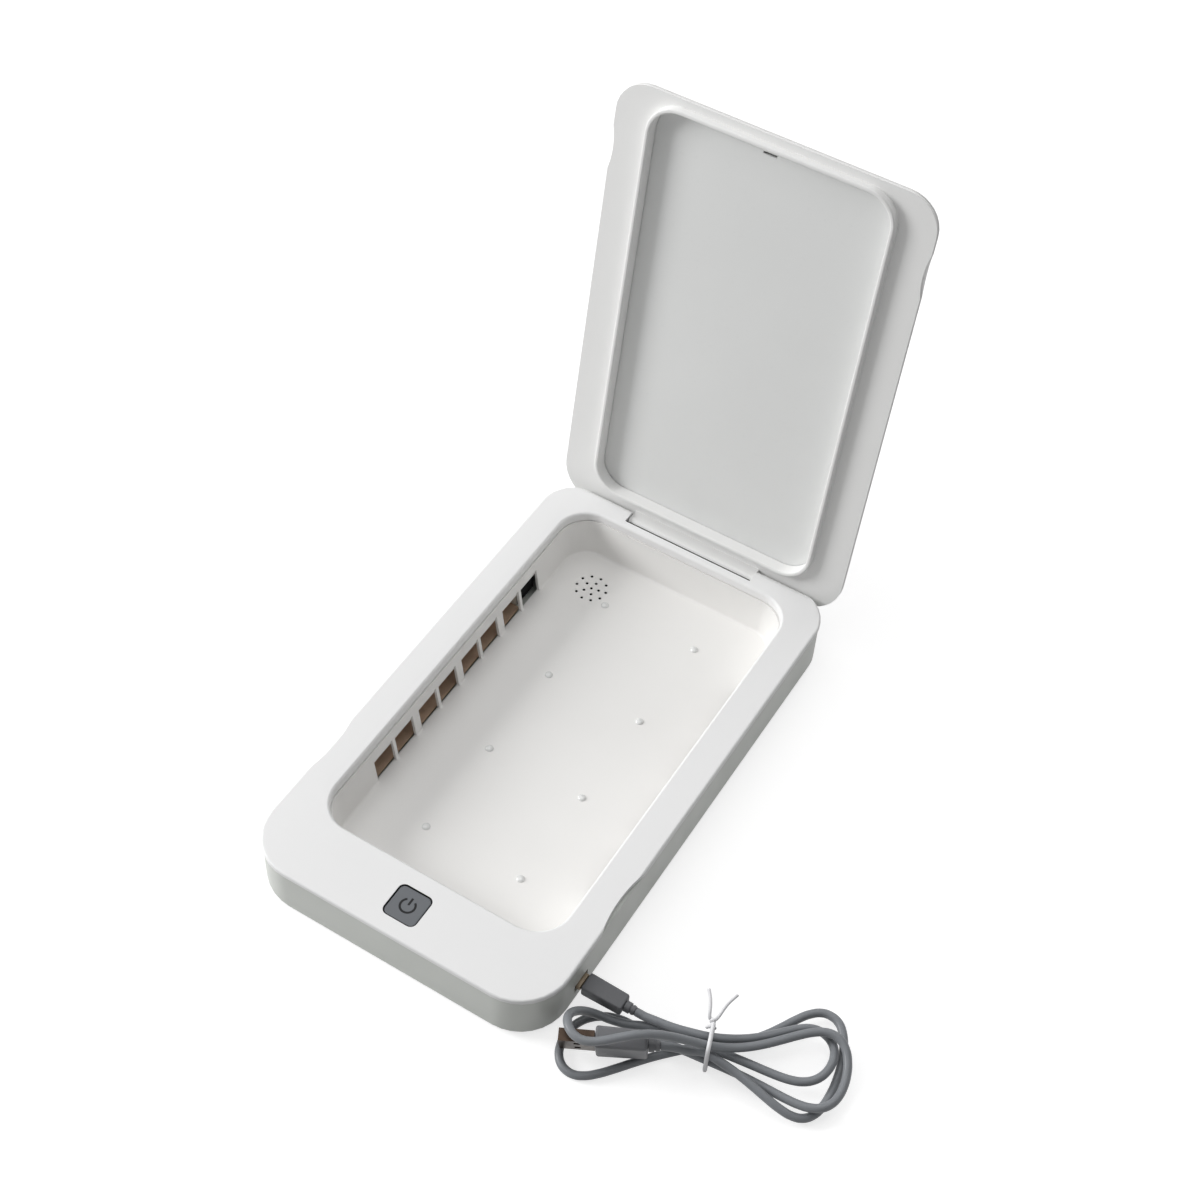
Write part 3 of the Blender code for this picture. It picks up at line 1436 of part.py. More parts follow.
def resample(points, spacing):
    """Points at even steps along a smooth curve through the route's own points."""
    dense = []
    count = len(points)
    parts = 12
    for k in range(count - 1):
        p0 = points[max(k - 1, 0)]
        p1 = points[k]
        p2 = points[k + 1]
        p3 = points[min(k + 2, count - 1)]
        for j in range(parts):
            t = j / parts
            dense.append((p1 * 2 + (p2 - p0) * t + (p0 * 2 - p1 * 5 + p2 * 4 - p3) * t ** 2
                          + (p1 * 3 - p0 - p2 * 3 + p3) * t ** 3) / 2)
    dense.append(points[-1])
    lengths = [0.0]
    for a, b in zip(dense, dense[1:]):
        lengths.append(lengths[-1] + (b - a).length)
    steps = max(int(round(lengths[-1] / spacing)), 2)
    result = []
    cursor = 0
    for k in range(steps + 1):
        target = lengths[-1] * k / steps
        while cursor < len(dense) - 2 and lengths[cursor + 1] < target:
            cursor += 1
        span = lengths[cursor + 1] - lengths[cursor]
        share = (target - lengths[cursor]) / span if span > 0.0 else 0.0
        result.append(dense[cursor].lerp(dense[cursor + 1], min(share, 1.0)))
    return result, lengths[-1]


def make_cable():
    lead, loops, tail = cable_route()
    frame = hank_frame()
    split = len(lead) - 4
    route = settle_route(lead + loops + tail)
    lead_points = [frame @ p for p in route[:split + 1]]
    hank_points = [frame @ p for p in route[split:]]
    way = (lead_points[-1] - lead_points[-2]).normalized()
    corner = lead_points[-1]
    lead_points = lead_points[:-1] + [corner - way * fit_gap / 2]
    hank_points = [corner + way * fit_gap / 2] + hank_points[1:]
    lead_tube = tube("cable_lead", lead_points, cable_diameter, 2)
    paint_curve(lead_tube)
    hank = tube("cable_hank", hank_points, cable_diameter, 1)
    paint_curve(hank)
    everything, length = resample(lead_points + hank_points, cable_diameter / 2)
    measure_gap(everything, length)
    return route


def paint_curve(obj):
    obj.data.materials.append(material(obj.name + "_finish", cable_grey, 0.5))


def measure_gap(points, length):
    """Print the least gap of the wound cable to itself and its tightest bend."""
    places = np.array([tuple(p) for p in points])
    step = length / (len(places) - 1)
    apart = np.linalg.norm(places[:, None] - places[None], axis=2)
    order = np.abs(np.arange(len(places))[:, None] - np.arange(len(places))[None])
    far = order * step > cable_diameter * 4
    least = apart[far].min() - cable_diameter
    a = places[1:-1] - places[:-2]
    b = places[2:] - places[1:-1]
    turn = np.arccos(np.clip((a * b).sum(1) / np.linalg.norm(a, axis=1) / np.linalg.norm(b, axis=1), -1.0, 1.0))
    bend = (step / np.maximum(turn, 1e-6)).min()
    print("cable length %.1f mm, least gap to itself %.2f mm, tightest bend radius %.1f mm, lowest centre %.2f mm"
          % (length * 1000, least * 1000, bend * 1000, places[:, 2].min() * 1000))


def make_tie(route):
    frame = hank_frame()
    reach = cable_diameter / 2 + tie_clearance + tie_diameter / 2
    crossings = []
    for a, b in zip(route, route[1:]):
        if (a.x < 0.0) != (b.x < 0.0):
            crossings.append(a.lerp(b, a.x / (a.x - b.x)))
    low_side = min(p.y for p in crossings) - reach
    high_side = max(p.y for p in crossings) + reach
    top = max(p.z for p in crossings) + reach
    bottom = tie_diameter / 2
    centre = ((low_side + high_side) / 2, (bottom + top) / 2)
    half = ((high_side - low_side) / 2, (top - bottom) / 2)
    band = []
    for k in range(tie_sides):
        angle = math.tau * k / tie_sides
        c = math.cos(angle)
        s = math.sin(angle)
        across = centre[0] + half[0] * math.copysign(abs(c) ** tie_square_share, c)
        level = centre[1] + half[1] * math.copysign(abs(s) ** tie_square_share, s)
        band.append(frame @ Vector((0.0, across, level)))
    tie = tube_mesh("cable_tie", band, tie_diameter, 2, closed=True)
    knot = bmesh.new()
    bmesh.ops.create_uvsphere(knot, u_segments=12, v_segments=8, radius=tie_knot)
    knot_obj = from_bmesh("tie_knot", knot)
    knot_obj.location = frame @ Vector(tie_knot_place)
    fuse(tie, knot_obj)
    for k, route in enumerate(tie_end_routes):
        points = [frame @ Vector(p) for p in route]
        fuse(tie, tube_mesh("tie_end_%d" % k, points, tie_diameter, 1))
    paint(tie, (0.80, 0.80, 0.80), 0.5)
    settle_smooth(tie, 60.0)


def report():
    bpy.context.view_layer.update()
    print("hinge axis", [round(v, 6) for v in root.matrix_world @ Vector((0.0, hinge_y, hinge_z))])
    print("button top", [round(v, 6) for v in root.matrix_world @ Vector((button_x, -button_y, deck_top - button_sink))])
    print("port face", [round(v, 6) for v in root.matrix_world @ Vector((base_width / 2, -port_y, port_level))])


def build():
    make_lower_housing()
    make_top_cover()
    make_tub()
    make_lamp(-1, "left")
    make_lamp(1, "right")
    make_board()
    make_button()
    make_small_parts()
    lid = bpy.data.objects.new("lid_joint", None)
    solids.objects.link(lid)
    lid.parent = root
    lid.location = (0.0, hinge_y, hinge_z)
    make_lid(lid)
    device_plug = bpy.data.objects.new("cable_joint", None)
    solids.objects.link(device_plug)
    device_plug.parent = root
    make_device_plug(device_plug)
    supply_plug = bpy.data.objects.new("supply_plug", None)
    solids.objects.link(supply_plug)
    supply_plug.parent = root
    supply_plug.matrix_local = usb_frame()
    make_supply_plug(supply_plug)
    route = make_cable()
    make_tie(route)
    for tool in list(cutters.objects):
        bpy.data.objects.remove(tool, do_unlink=True)
    root.location.y = -(open_reach() - base_length / 2) / 2
    report()


build()
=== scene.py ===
import json
import math

import bmesh
import bpy
import numpy as np
from mathutils import Matrix, Vector

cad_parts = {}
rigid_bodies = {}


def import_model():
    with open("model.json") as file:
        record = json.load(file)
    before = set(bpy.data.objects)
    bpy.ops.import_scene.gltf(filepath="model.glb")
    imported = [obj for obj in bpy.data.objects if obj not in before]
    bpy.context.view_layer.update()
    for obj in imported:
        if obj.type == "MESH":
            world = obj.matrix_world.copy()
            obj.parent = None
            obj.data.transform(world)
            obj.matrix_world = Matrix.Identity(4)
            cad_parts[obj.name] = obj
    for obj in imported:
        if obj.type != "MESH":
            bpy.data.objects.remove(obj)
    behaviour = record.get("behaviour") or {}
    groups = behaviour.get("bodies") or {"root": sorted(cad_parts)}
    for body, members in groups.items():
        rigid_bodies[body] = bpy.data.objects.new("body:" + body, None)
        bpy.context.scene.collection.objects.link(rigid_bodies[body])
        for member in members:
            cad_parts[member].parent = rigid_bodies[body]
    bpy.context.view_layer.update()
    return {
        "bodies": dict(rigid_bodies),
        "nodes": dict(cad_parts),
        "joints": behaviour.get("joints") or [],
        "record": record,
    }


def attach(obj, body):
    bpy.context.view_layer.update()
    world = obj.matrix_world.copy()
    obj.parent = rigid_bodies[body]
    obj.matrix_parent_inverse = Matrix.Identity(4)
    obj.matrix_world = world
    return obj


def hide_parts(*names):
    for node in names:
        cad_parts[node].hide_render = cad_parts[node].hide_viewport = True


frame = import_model()
nodes = frame["nodes"]
scene = bpy.context.scene
scene.view_settings.view_transform = "Standard"


def srgb(red, green, blue):
    # 0-255 screen colour to the linear value that the shader wants
    def linear(value):
        value = value / 255.0
        return value / 12.92 if value <= 0.04045 else ((value + 0.055) / 1.055) ** 2.4
    return (linear(red), linear(green), linear(blue), 1.0)


# Camera of the photograph: places in metres, roll in degrees, lens and sensor in millimetres
photoCamera = {
    "place": (0.24081, -0.42348, 0.66755),
    "target": (-0.02622, 0.05925, 0.0),
    "roll": 3.40,
    "lens": 62.5,
    "sensor": 36.0,
    "clip": (0.01, 50.0),
}


def addCamera(setup):
    data = bpy.data.cameras.new("photoCamera")
    data.lens = setup["lens"]
    data.sensor_width = setup["sensor"]
    data.clip_start, data.clip_end = setup["clip"]
    camera = bpy.data.objects.new("photoCamera", data)
    scene.collection.objects.link(camera)
    place = Vector(setup["place"])
    aim = (Vector(setup["target"]) - place).to_track_quat("-Z", "Y").to_matrix().to_4x4()
    roll = Matrix.Rotation(math.radians(setup["roll"]), 4, "Z")
    camera.matrix_world = Matrix.Translation(place) @ aim @ roll
    scene.camera = camera


addCamera(photoCamera)
print("camera set")

# Cable: one cord from the device plug's relief, through a tied hank, to the supply plug's relief.
# It lies where the CAD cable does, so its route is worked out the same way, in the hank's own frame.
cable = {
    "diameter": 0.0032,
    "length": 0.648,
    "jacket": srgb(128, 131, 135),
    "roundness": 6,
    "steps": 5,
}
# The plugs: place, turns in degrees, body along, across and up, how far the cable also keeps away in
# front of it, length of the relief, and the gap that touching pieces keep
devicePlug = {
    "place": (0.0660, -0.101169, 0.0100),
    "turns": (0.0, 0.0, 0.0),
    "body": (0.0163, 0.0075, 0.0052),
    "front": 0.0015,
    "relief": 0.0040,
    "gap": 0.0003,
}
supplyPlug = {
    "place": (0.0813, -0.119369, 0.0119),
    "turns": (15.0, -3.0, 25.9),
    "body": (0.0182, 0.0080, 0.0150),
    "front": 0.0,
    "shell": (0.0125, 0.0045, 0.0120),
    "relief": 0.0040,
    "gap": 0.0003,
}
hank = {
    "place": (0.1145, -0.096669, 0.0),
    "turn": 19.0,
    "loopPoints": 24,
    "leadPoints": 9,
    "tailPoints": 6,
    # where the cable crosses the tie, turn after turn: sideways and above the floor
    "waistAcross": (0.00095, -0.00105, -0.00405, -0.00465, 0.00055, -0.00525),
    "waistLevel": (0.0095, 0.0066, 0.0123, 0.0044, 0.0037, 0.0086),
    # each loop: side, reach, half width, sideways shift, level on the way out and on the way back
    "loops": (
        (1, 0.0430, 0.0105, 0.0065, 0.0070, 0.0070),
        (-1, 0.0490, 0.0093, -0.0067, 0.0195, 0.0225),
        (1, 0.0482, 0.0148, 0.0042, 0.0093, 0.0057),
        (-1, 0.0510, 0.0142, -0.0088, 0.0018, 0.0018),
        (1, 0.0460, 0.0199, 0.0082, 0.0040, 0.0040),
    ),
    # shares of each loop over which it leaves the waist's level and comes back to it
    "climbShares": (
        (0.03, 0.30, 0.04, 0.30),
        (0.29, 0.49, 0.02, 0.14),
        (0.04, 0.30, 0.04, 0.30),
        (0.06, 0.23, 0.00, 0.10),
        (0.03, 0.28, 0.00, 0.31),
    ),
    "turnOverShares": (0.36, 0.28),
    "foldShare": 0.8,
    "foldSwellShare": 1.18,
}
# The wound cable is pushed clear of itself, the plugs and the floor, and its sharp bends are eased.
# Points nearer along the cable than sameStretch don't push each other; least keeps divisions from zero.
settling = {
    "rounds": 400,
    "parts": 3,
    "heldPoints": 3,
    "sameStretch": 0.0128,
    "openRun": 0.0080,
    "gap": 0.0009,
    "plugGap": 0.0007,
    "floorGap": 0.0001,
    "tieRoom": 0.0020,
    "leastBend": 0.0080,
    "least": 0.000003,
    "pushShare": 0.35,
    "bendShare": 0.35,
    "calmShare": 0.08,
    "spanShare": 0.4,
    "spanRounds": 3,
}


def hankFrame():
    return Matrix.Translation(hank["place"]) @ Matrix.Rotation(math.radians(hank["turn"]), 4, "Z")


def hundredths(place):
    # metres, rounded to hundredths of a millimetre
    metreDigits = 5
    return tuple(round(value, metreDigits) for value in place)


def plugFrame(plug):
    # the plug's own frame, seen from the hank's, with +X from the plug's front to its cable
    about = [Matrix.Rotation(math.radians(turn), 4, axis) for turn, axis in zip(plug["turns"], "XYZ")]
    return hankFrame().inverted() @ Matrix.Translation(plug["place"]) @ about[2] @ about[1] @ about[0]


def plugExit(plug):
    # where the cable starts behind the relief, and its way out
    reach = plug["body"][0] + plug["relief"] + plug["gap"] * 2
    way = plugFrame(plug).to_3x3() @ Vector((1.0, 0.0, 0.0))
    return plugFrame(plug) @ Vector((reach, 0.0, 0.0)), way.normalized()


def ease(value):
    value = min(max(value, 0.0), 1.0)
    return value * value * (3.0 - 2.0 * value)


def loopPath(index):
    # one loop of the hank, from the waist out to its fold and back to the waist
    side, reach, half, shift, levelOut, levelBack = hank["loops"][index]
    leave, high, back, low = hank["climbShares"][index]
    acrossOut, acrossBack = hank["waistAcross"][index:index + 2]
    waistOut, waistBack = hank["waistLevel"][index:index + 2]
    turnOver, turnLength = hank["turnOverShares"]
    points = []
    for k in range(hank["loopPoints"]):
        t = k / hank["loopPoints"]
        wave = math.sin(math.pi * t)
        across = acrossOut + (acrossBack - acrossOut) * ease(t) + shift * wave * wave
        across += half * hank["foldSwellShare"] * math.sin(math.tau * t) * wave ** hank["foldShare"]
        goingOut = t < 0.5
        climb = ease((t - leave) / (high - leave)) if goingOut else ease((1.0 - t - back) / (low - back))
        waist = waistOut if goingOut else waistBack
        level = levelOut + (levelBack - levelOut) * ease((t - turnOver) / turnLength)
        points.append(Vector((side * reach * wave, across, waist + (level - waist) * climb)))
    return points


def bridge(start, startWay, end, endWay, count):
    # a smooth run between two points that leaves and arrives along given directions
    span = (end - start).length
    leave, arrive = startWay.normalized() * span, endWay.normalized() * span
    points = []
    for k in range(count + 1):
        t = k / count
        points.append(start * (2 * t ** 3 - 3 * t ** 2 + 1) + leave * (t ** 3 - 2 * t ** 2 + t)
                      + end * (-2 * t ** 3 + 3 * t ** 2) + arrive * (t ** 3 - t ** 2))
    return points


def roughRoute():
    # lead, loops and tail before they are settled
    start, startWay = plugExit(devicePlug)
    end, endWay = plugExit(supplyPlug)
    loops = [point for index in range(len(hank["loops"])) for point in loopPath(index)]
    last = Vector((0.0, hank["waistAcross"][-1], hank["waistLevel"][-1]))
    straight = cable["diameter"]
    lead = [start, start + startWay * straight / 2]
    run = bridge(start + startWay * straight, startWay, loops[0], loops[1] - loops[0], hank["leadPoints"])
    tail = bridge(last, last - loops[-1], end + endWay * straight, -endWay, hank["tailPoints"])
    return lead + run[:-1] + loops + tail + [end + endWay * straight / 2, end]


def plugBlocks():
    # the plugs as boxes that the cable keeps clear of: frame, its inverse and two corners
    blocks = []
    for plug in (devicePlug, supplyPlug):
        length, width, height = plug["body"]
        reach = length + plug["gap"] + plug["relief"]
        low, high = (-plug["front"], -width / 2, -height / 2), (reach, width / 2, height / 2)
        blocks.append((plugFrame(plug), low, high))
    length, width, height = supplyPlug["shell"]
    blocks.append((plugFrame(supplyPlug), (-length, -width / 2, -height / 2), (0.0, width / 2, height / 2)))
    return [(np.array(frame), np.array(frame.inverted()), np.array(low), np.array(high))
            for frame, low, high in blocks]


def pushFromBlock(route, block):
    frame, inverse, low, high = block
    local = route @ inverse[:3, :3].T + inverse[:3, 3]
    away = local - np.clip(local, low, high)
    distance = np.linalg.norm(away, axis=1)
    short = np.clip(cable["diameter"] / 2 + settling["plugGap"] - distance, 0.0, None) * (distance > 0.0)
    return (away / np.maximum(distance, settling["least"])[:, None] * short[:, None]) @ frame[:3, :3].T


def pushFromItself(route, base, part, apart):
    # every point moves with the stretches beside it that lie too close to another stretch
    fine = route[base] * (1.0 - part)[:, None] + route[base + 1] * part[:, None]
    between = fine[:, None] - fine[None]
    distance = np.linalg.norm(between, axis=2)
    wanted = cable["diameter"] + settling["gap"]
    close = apart & (distance < wanted)
    short = np.where(close, (wanted - distance) / np.maximum(distance, settling["least"]), 0.0)
    push = (between * short[:, :, None]).sum(axis=1) / np.maximum(close.sum(axis=1), 1)[:, None]
    move, weight = np.zeros_like(route), np.zeros(len(route))
    for index, share in ((base, 1.0 - part), (base + 1, part)):
        np.add.at(move, index, push * share[:, None])
        np.add.at(weight, index, share * close.any(axis=1))
    return move / np.maximum(weight, 1.0)[:, None] * settling["pushShare"]


def easeBends(route, move):
    before, after = route[1:-1] - route[:-2], route[2:] - route[1:-1]
    beforeLength, afterLength = np.linalg.norm(before, axis=1), np.linalg.norm(after, axis=1)
    cosine = (before * after).sum(axis=1) / beforeLength / afterLength
    bend = np.arccos(np.clip(cosine, -1.0, 1.0)) / (beforeLength + afterLength) * 2
    sharp = np.clip(settling["leastBend"] * bend - 1.0, 0.0, 1.0)[:, None]
    inward = (after - before) / 2 * sharp * settling["bendShare"]
    move[1:-1] += inward
    move[:-2] -= inward / 4
    move[2:] -= inward / 4
    calm = (route[1:-3] * 4 + route[3:-1] * 4 - route[:-4] - route[4:] - route[2:-2] * 6) / 16
    move[2:-2] += calm * settling["calmShare"]


def keepSpans(route, spans, free):
    for _ in range(settling["spanRounds"]):
        step = np.diff(route, axis=0)
        reach = np.linalg.norm(step, axis=1)
        pull = step * ((reach - spans) / reach)[:, None] * settling["spanShare"]
        route[:-1][free[:-1]] += pull[free[:-1]]
        route[1:][free[1:]] -= pull[free[1:]]


def settleRoute(points):
    route = np.array([tuple(point) for point in points])
    count, parts, held = len(route), settling["parts"], settling["heldPoints"]
    spans = np.linalg.norm(np.diff(route, axis=0), axis=1)
    along = np.concatenate([[0.0], np.cumsum(spans)])
    base = np.repeat(np.arange(count - 1), parts)
    part = np.tile(np.arange(parts) / parts, count - 1)
    place = along[base] * (1.0 - part) + along[base + 1] * part
    apart = np.abs(place[:, None] - place[None]) > settling["sameStretch"]
    free = np.ones(count, bool)
    free[:held] = free[-held:] = False
    openRun = (np.minimum(along, along[-1] - along) > settling["openRun"])[:, None]
    blocks = plugBlocks()
    for _ in range(settling["rounds"]):
        move = pushFromItself(route, base, part, apart)
        for block in blocks:
            move += pushFromBlock(route, block) * openRun * settling["pushShare"] * 2
        easeBends(route, move)
        route[free] += move[free]
        keepSpans(route, spans, free)
        atTie = np.clip(2.0 - np.abs(route[:, 0]) / cable["diameter"], 0.0, 1.0)
        lowest = cable["diameter"] / 2 + settling["floorGap"] + settling["tieRoom"] * atTie
        route[:, 2] = np.maximum(route[:, 2], lowest)
    return [Vector(point) for point in route]


hankRoute = settleRoute(roughRoute())
cableRoute = [hundredths(hankFrame() @ point) for point in hankRoute]
print("cable route: %d points" % len(cableRoute))


def link(obj):
    scene.collection.objects.link(obj)
    return obj


def meshFromBmesh(name, bm, smooth=True):
    mesh = bpy.data.meshes.new(name)
    bm.to_mesh(mesh)
    bm.free()
    for polygon in mesh.polygons:
        polygon.use_smooth = smooth
    return link(bpy.data.objects.new(name, mesh))


def smoothTube(name, points, diameter, steps=4, roundness=4, closed=False):
    curve = bpy.data.curves.new(name, "CURVE")
    curve.dimensions = "3D"
    curve.bevel_depth = diameter / 2
    curve.bevel_resolution = roundness
    curve.resolution_u = steps
    curve.render_resolution_u = 0
    curve.use_fill_caps = True
    spline = curve.splines.new("BEZIER")
    spline.bezier_points.add(len(points) - 1)
    for knot, place in zip(spline.bezier_points, points):
        knot.co = place
        knot.handle_left_type = "AUTO"
        knot.handle_right_type = "AUTO"
    spline.use_cyclic_u = closed
    return link(bpy.data.objects.new(name, curve))


# Materials. Noise scales are in steps per metre, heights in metres; the screen colours are 0 to 255.

def startMaterial(name):
    material = bpy.data.materials.new(name)
    material.use_nodes = True
    tree = material.node_tree
    return material, tree, tree.nodes["Principled BSDF"]


def addNode(tree, kind, **values):
    node = tree.nodes.new(kind)
    for key, value in values.items():
        setattr(node, key, value)
    return node


def objectSpace(tree, stretch=(1.0, 1.0, 1.0)):
    space = addNode(tree, "ShaderNodeTexCoord")
    mapping = addNode(tree, "ShaderNodeMapping")
    mapping.inputs["Scale"].default_value = stretch
    tree.links.new(space.outputs["Object"], mapping.inputs["Vector"])
    return mapping.outputs["Vector"]


def noise(tree, vector, scale, detail=2.0, roughness=0.5):
    node = addNode(tree, "ShaderNodeTexNoise")
    node.inputs["Scale"].default_value = scale
    node.inputs["Detail"].default_value = detail
    node.inputs["Roughness"].default_value = roughness
    tree.links.new(vector, node.inputs["Vector"])
    return node.outputs["Fac"]


def spread(tree, value, low, high, fromLow=0.3, fromHigh=0.7):
    node = addNode(tree, "ShaderNodeMapRange")
    node.inputs["From Min"].default_value = fromLow
    node.inputs["From Max"].default_value = fromHigh
    node.inputs["To Min"].default_value = low
    node.inputs["To Max"].default_value = high
    tree.links.new(value, node.inputs["Value"])
    return node.outputs["Result"]


def mixColours(tree, factor, first, second):
    # each colour is a value or another node's output
    node = addNode(tree, "ShaderNodeMix", data_type="RGBA")
    factorSocket, firstSocket, secondSocket, colourOutput = 0, 6, 7, 2
    tree.links.new(factor, node.inputs[factorSocket])
    for socket, value in ((node.inputs[firstSocket], first), (node.inputs[secondSocket], second)):
        if isinstance(value, tuple):
            socket.default_value = value
        else:
            tree.links.new(value, socket)
    return node.outputs[colourOutput]


def bump(tree, height, distance, strength=1.0, under=None):
    node = addNode(tree, "ShaderNodeBump")
    node.inputs["Strength"].default_value = strength
    node.inputs["Distance"].default_value = distance
    tree.links.new(height, node.inputs["Height"])
    if under is not None:
        tree.links.new(under, node.inputs["Normal"])
    return node.outputs["Normal"]


def tint(colour, amount):
    return tuple(min(max(c * amount, 0.0), 1.0) for c in colour[:3]) + (1.0,)


# What all mouldings share, unless a finish has its own value
moulding = {
    "cloudScale": 14.0,
    "speckle": 0.04,
    "speckCoarseness": 0.35,
    "speckBand": (0.62, 0.78),
    "speckTint": 0.75,
    "smearStretch": (1.0, 2.2, 1.0),
    "smearScale": 55.0,
    "sinkScale": 60.0,
    "sinkHeight": 0.00006,
    "sinkStrength": 0.6,
    "grainStrength": 0.8,
    "refraction": 1.49,
    "specular": 0.35,
}


def mouldedPlastic(name, finish):
    # satin moulding: fine spark-eroded grain, faint clouding, handling smears in the gloss
    look = {**moulding, **finish}
    material, tree, shader = startMaterial(name)
    space = objectSpace(tree)
    clouds = spread(tree, noise(tree, space, look["cloudScale"], detail=3.0), 0.0, 1.0)
    colour = mixColours(tree, clouds, tint(look["colour"], 1.0 - look["clouding"]), look["colour"])
    specks = noise(tree, space, look["grainScale"] * look["speckCoarseness"])
    specks = spread(tree, specks, 0.0, 1.0, *look["speckBand"])
    specks = spread(tree, specks, 0.0, look["speckle"], 0.0, 1.0)
    colour = mixColours(tree, specks, colour, tint(look["colour"], look["speckTint"]))
    tree.links.new(colour, shader.inputs["Base Color"])
    handled = objectSpace(tree, look["smearStretch"])
    smears = noise(tree, handled, look["smearScale"], detail=4.0, roughness=0.6)
    gloss = spread(tree, smears, look["roughness"] - look["smear"], look["roughness"] + look["smear"])
    tree.links.new(gloss, shader.inputs["Roughness"])
    sinks = noise(tree, space, look["sinkScale"], detail=1.0)
    normal = bump(tree, sinks, look["sinkHeight"], look["sinkStrength"])
    grain = noise(tree, space, look["grainScale"], detail=3.0, roughness=0.55)
    normal = bump(tree, grain, look["grainHeight"], look["grainStrength"], normal)
    tree.links.new(normal, shader.inputs["Normal"])
    shader.inputs["IOR"].default_value = look["refraction"]
    shader.inputs["Specular IOR Level"].default_value = look["specular"]
    return material


# What all metals share; the gloss swings between two shares of the metal's roughness
brushing = {"detail": 4.0, "coarseness": 0.6, "glossSwing": (0.8, 1.25), "strength": 0.7}


def brushedMetal(name, look):
    material, tree, shader = startMaterial(name)
    along = objectSpace(tree, look["stretch"])
    hair = noise(tree, along, look["hairScale"], brushing["detail"], brushing["coarseness"])
    patina = noise(tree, objectSpace(tree), look["patinaScale"], brushing["detail"], brushing["coarseness"])
    patina = spread(tree, patina, 0.0, 1.0)
    colour = mixColours(tree, patina, look["colour"], tint(look["colour"], look["patina"]))
    tree.links.new(colour, shader.inputs["Base Color"])
    smoothest, roughest = [look["roughness"] * share for share in brushing["glossSwing"]]
    tree.links.new(spread(tree, hair, smoothest, roughest), shader.inputs["Roughness"])
    tree.links.new(bump(tree, hair, look["hairHeight"], brushing["strength"]), shader.inputs["Normal"])
    shader.inputs["Metallic"].default_value = look["metal"]
    return material


# What all rubbers share, unless one has its own value
rubber = {"glossSwing": 0.06, "strength": 0.7, "specular": 0.4, "sheen": 0.04, "sheenRoughness": 0.5}


def softRubber(name, finish):
    # cable jacket and plug overmoulds: matt, slightly blotchy, with a fine skin
    look = {**rubber, **finish}
    material, tree, shader = startMaterial(name)
    space = objectSpace(tree)
    clouds = spread(tree, noise(tree, space, look["cloudScale"], detail=4.0, roughness=0.6), 0.0, 1.0)
    darker, lighter = [tint(look["colour"], 1.0 + swing) for swing in (-look["clouding"], look["clouding"])]
    tree.links.new(mixColours(tree, clouds, darker, lighter), shader.inputs["Base Color"])
    smoothest, roughest = look["roughness"] - look["glossSwing"], look["roughness"] + look["glossSwing"]
    tree.links.new(spread(tree, clouds, smoothest, roughest, 0.0, 1.0), shader.inputs["Roughness"])
    skin = noise(tree, space, look["skinScale"], detail=3.0, roughness=0.6)
    tree.links.new(bump(tree, skin, look["skinHeight"], look["strength"]), shader.inputs["Normal"])
    shader.inputs["Specular IOR Level"].default_value = look["specular"]
    shader.inputs["Sheen Weight"].default_value = look["sheen"]
    shader.inputs["Sheen Roughness"].default_value = look["sheenRoughness"]
    return material


def quartzGlass(name, look):
    # drawn glass, with faint streaks along the tube
    material, tree, shader = startMaterial(name)
    streaks = noise(tree, objectSpace(tree, look["stretch"]), look["streakScale"], detail=3.0)
    streakShare = spread(tree, streaks, 0.0, 1.0)
    colour = mixColours(tree, streakShare, look["colour"], tint(look["colour"], look["streakTint"]))
    tree.links.new(colour, shader.inputs["Base Color"])
    tree.links.new(spread(tree, streaks, *look["roughness"]), shader.inputs["Roughness"])
    shader.inputs["Transmission Weight"].default_value = look["transmission"]
    shader.inputs["IOR"].default_value = look["refraction"]
    return material


def feltPad(name, look):
    # fibres lie across each other in two sets
    material, tree, shader = startMaterial(name)
    fibres, cross = [noise(tree, objectSpace(tree, stretch), scale, detail=5.0, roughness=0.7)
                     for stretch, scale in look["fibres"]]
    darker, lighter = [tint(look["colour"], share) for share in look["tints"]]
    colour = mixColours(tree, spread(tree, fibres, 0.0, 1.0), darker, lighter)
    tree.links.new(colour, shader.inputs["Base Color"])
    normal = bump(tree, fibres, look["height"], look["strength"])
    tree.links.new(bump(tree, cross, look["height"], look["strength"], normal), shader.inputs["Normal"])
    shader.inputs["Roughness"].default_value = look["roughness"]
    shader.inputs["Sheen Weight"].default_value = look["sheen"]
    return material


def boardLaminate(name, look):
    # solder mask with copper tracks showing through as lighter lines
    material, tree, shader = startMaterial(name)
    tracks = addNode(tree, "ShaderNodeTexBrick")
    tracks.inputs["Scale"].default_value = look["trackScale"]
    tracks.inputs["Mortar Size"].default_value = look["trackWidth"]
    tracks.inputs["Color1"].default_value = look["colour"]
    tracks.inputs["Color2"].default_value = tint(look["colour"], look["fieldTint"])
    tracks.inputs["Mortar"].default_value = look["track"]
    tree.links.new(objectSpace(tree), tracks.inputs["Vector"])
    weave = noise(tree, objectSpace(tree), look["weaveScale"], detail=3.0)
    weave = spread(tree, weave, 0.0, look["weaveShare"])
    colour = mixColours(tree, weave, tracks.outputs["Color"], tint(look["colour"], look["weaveTint"]))
    tree.links.new(colour, shader.inputs["Base Color"])
    relief = bump(tree, tracks.outputs["Fac"], look["trackHeight"], look["strength"])
    tree.links.new(relief, shader.inputs["Normal"])
    shader.inputs["Roughness"].default_value = look["roughness"]
    shader.inputs["Coat Weight"].default_value = look["coat"]
    return material


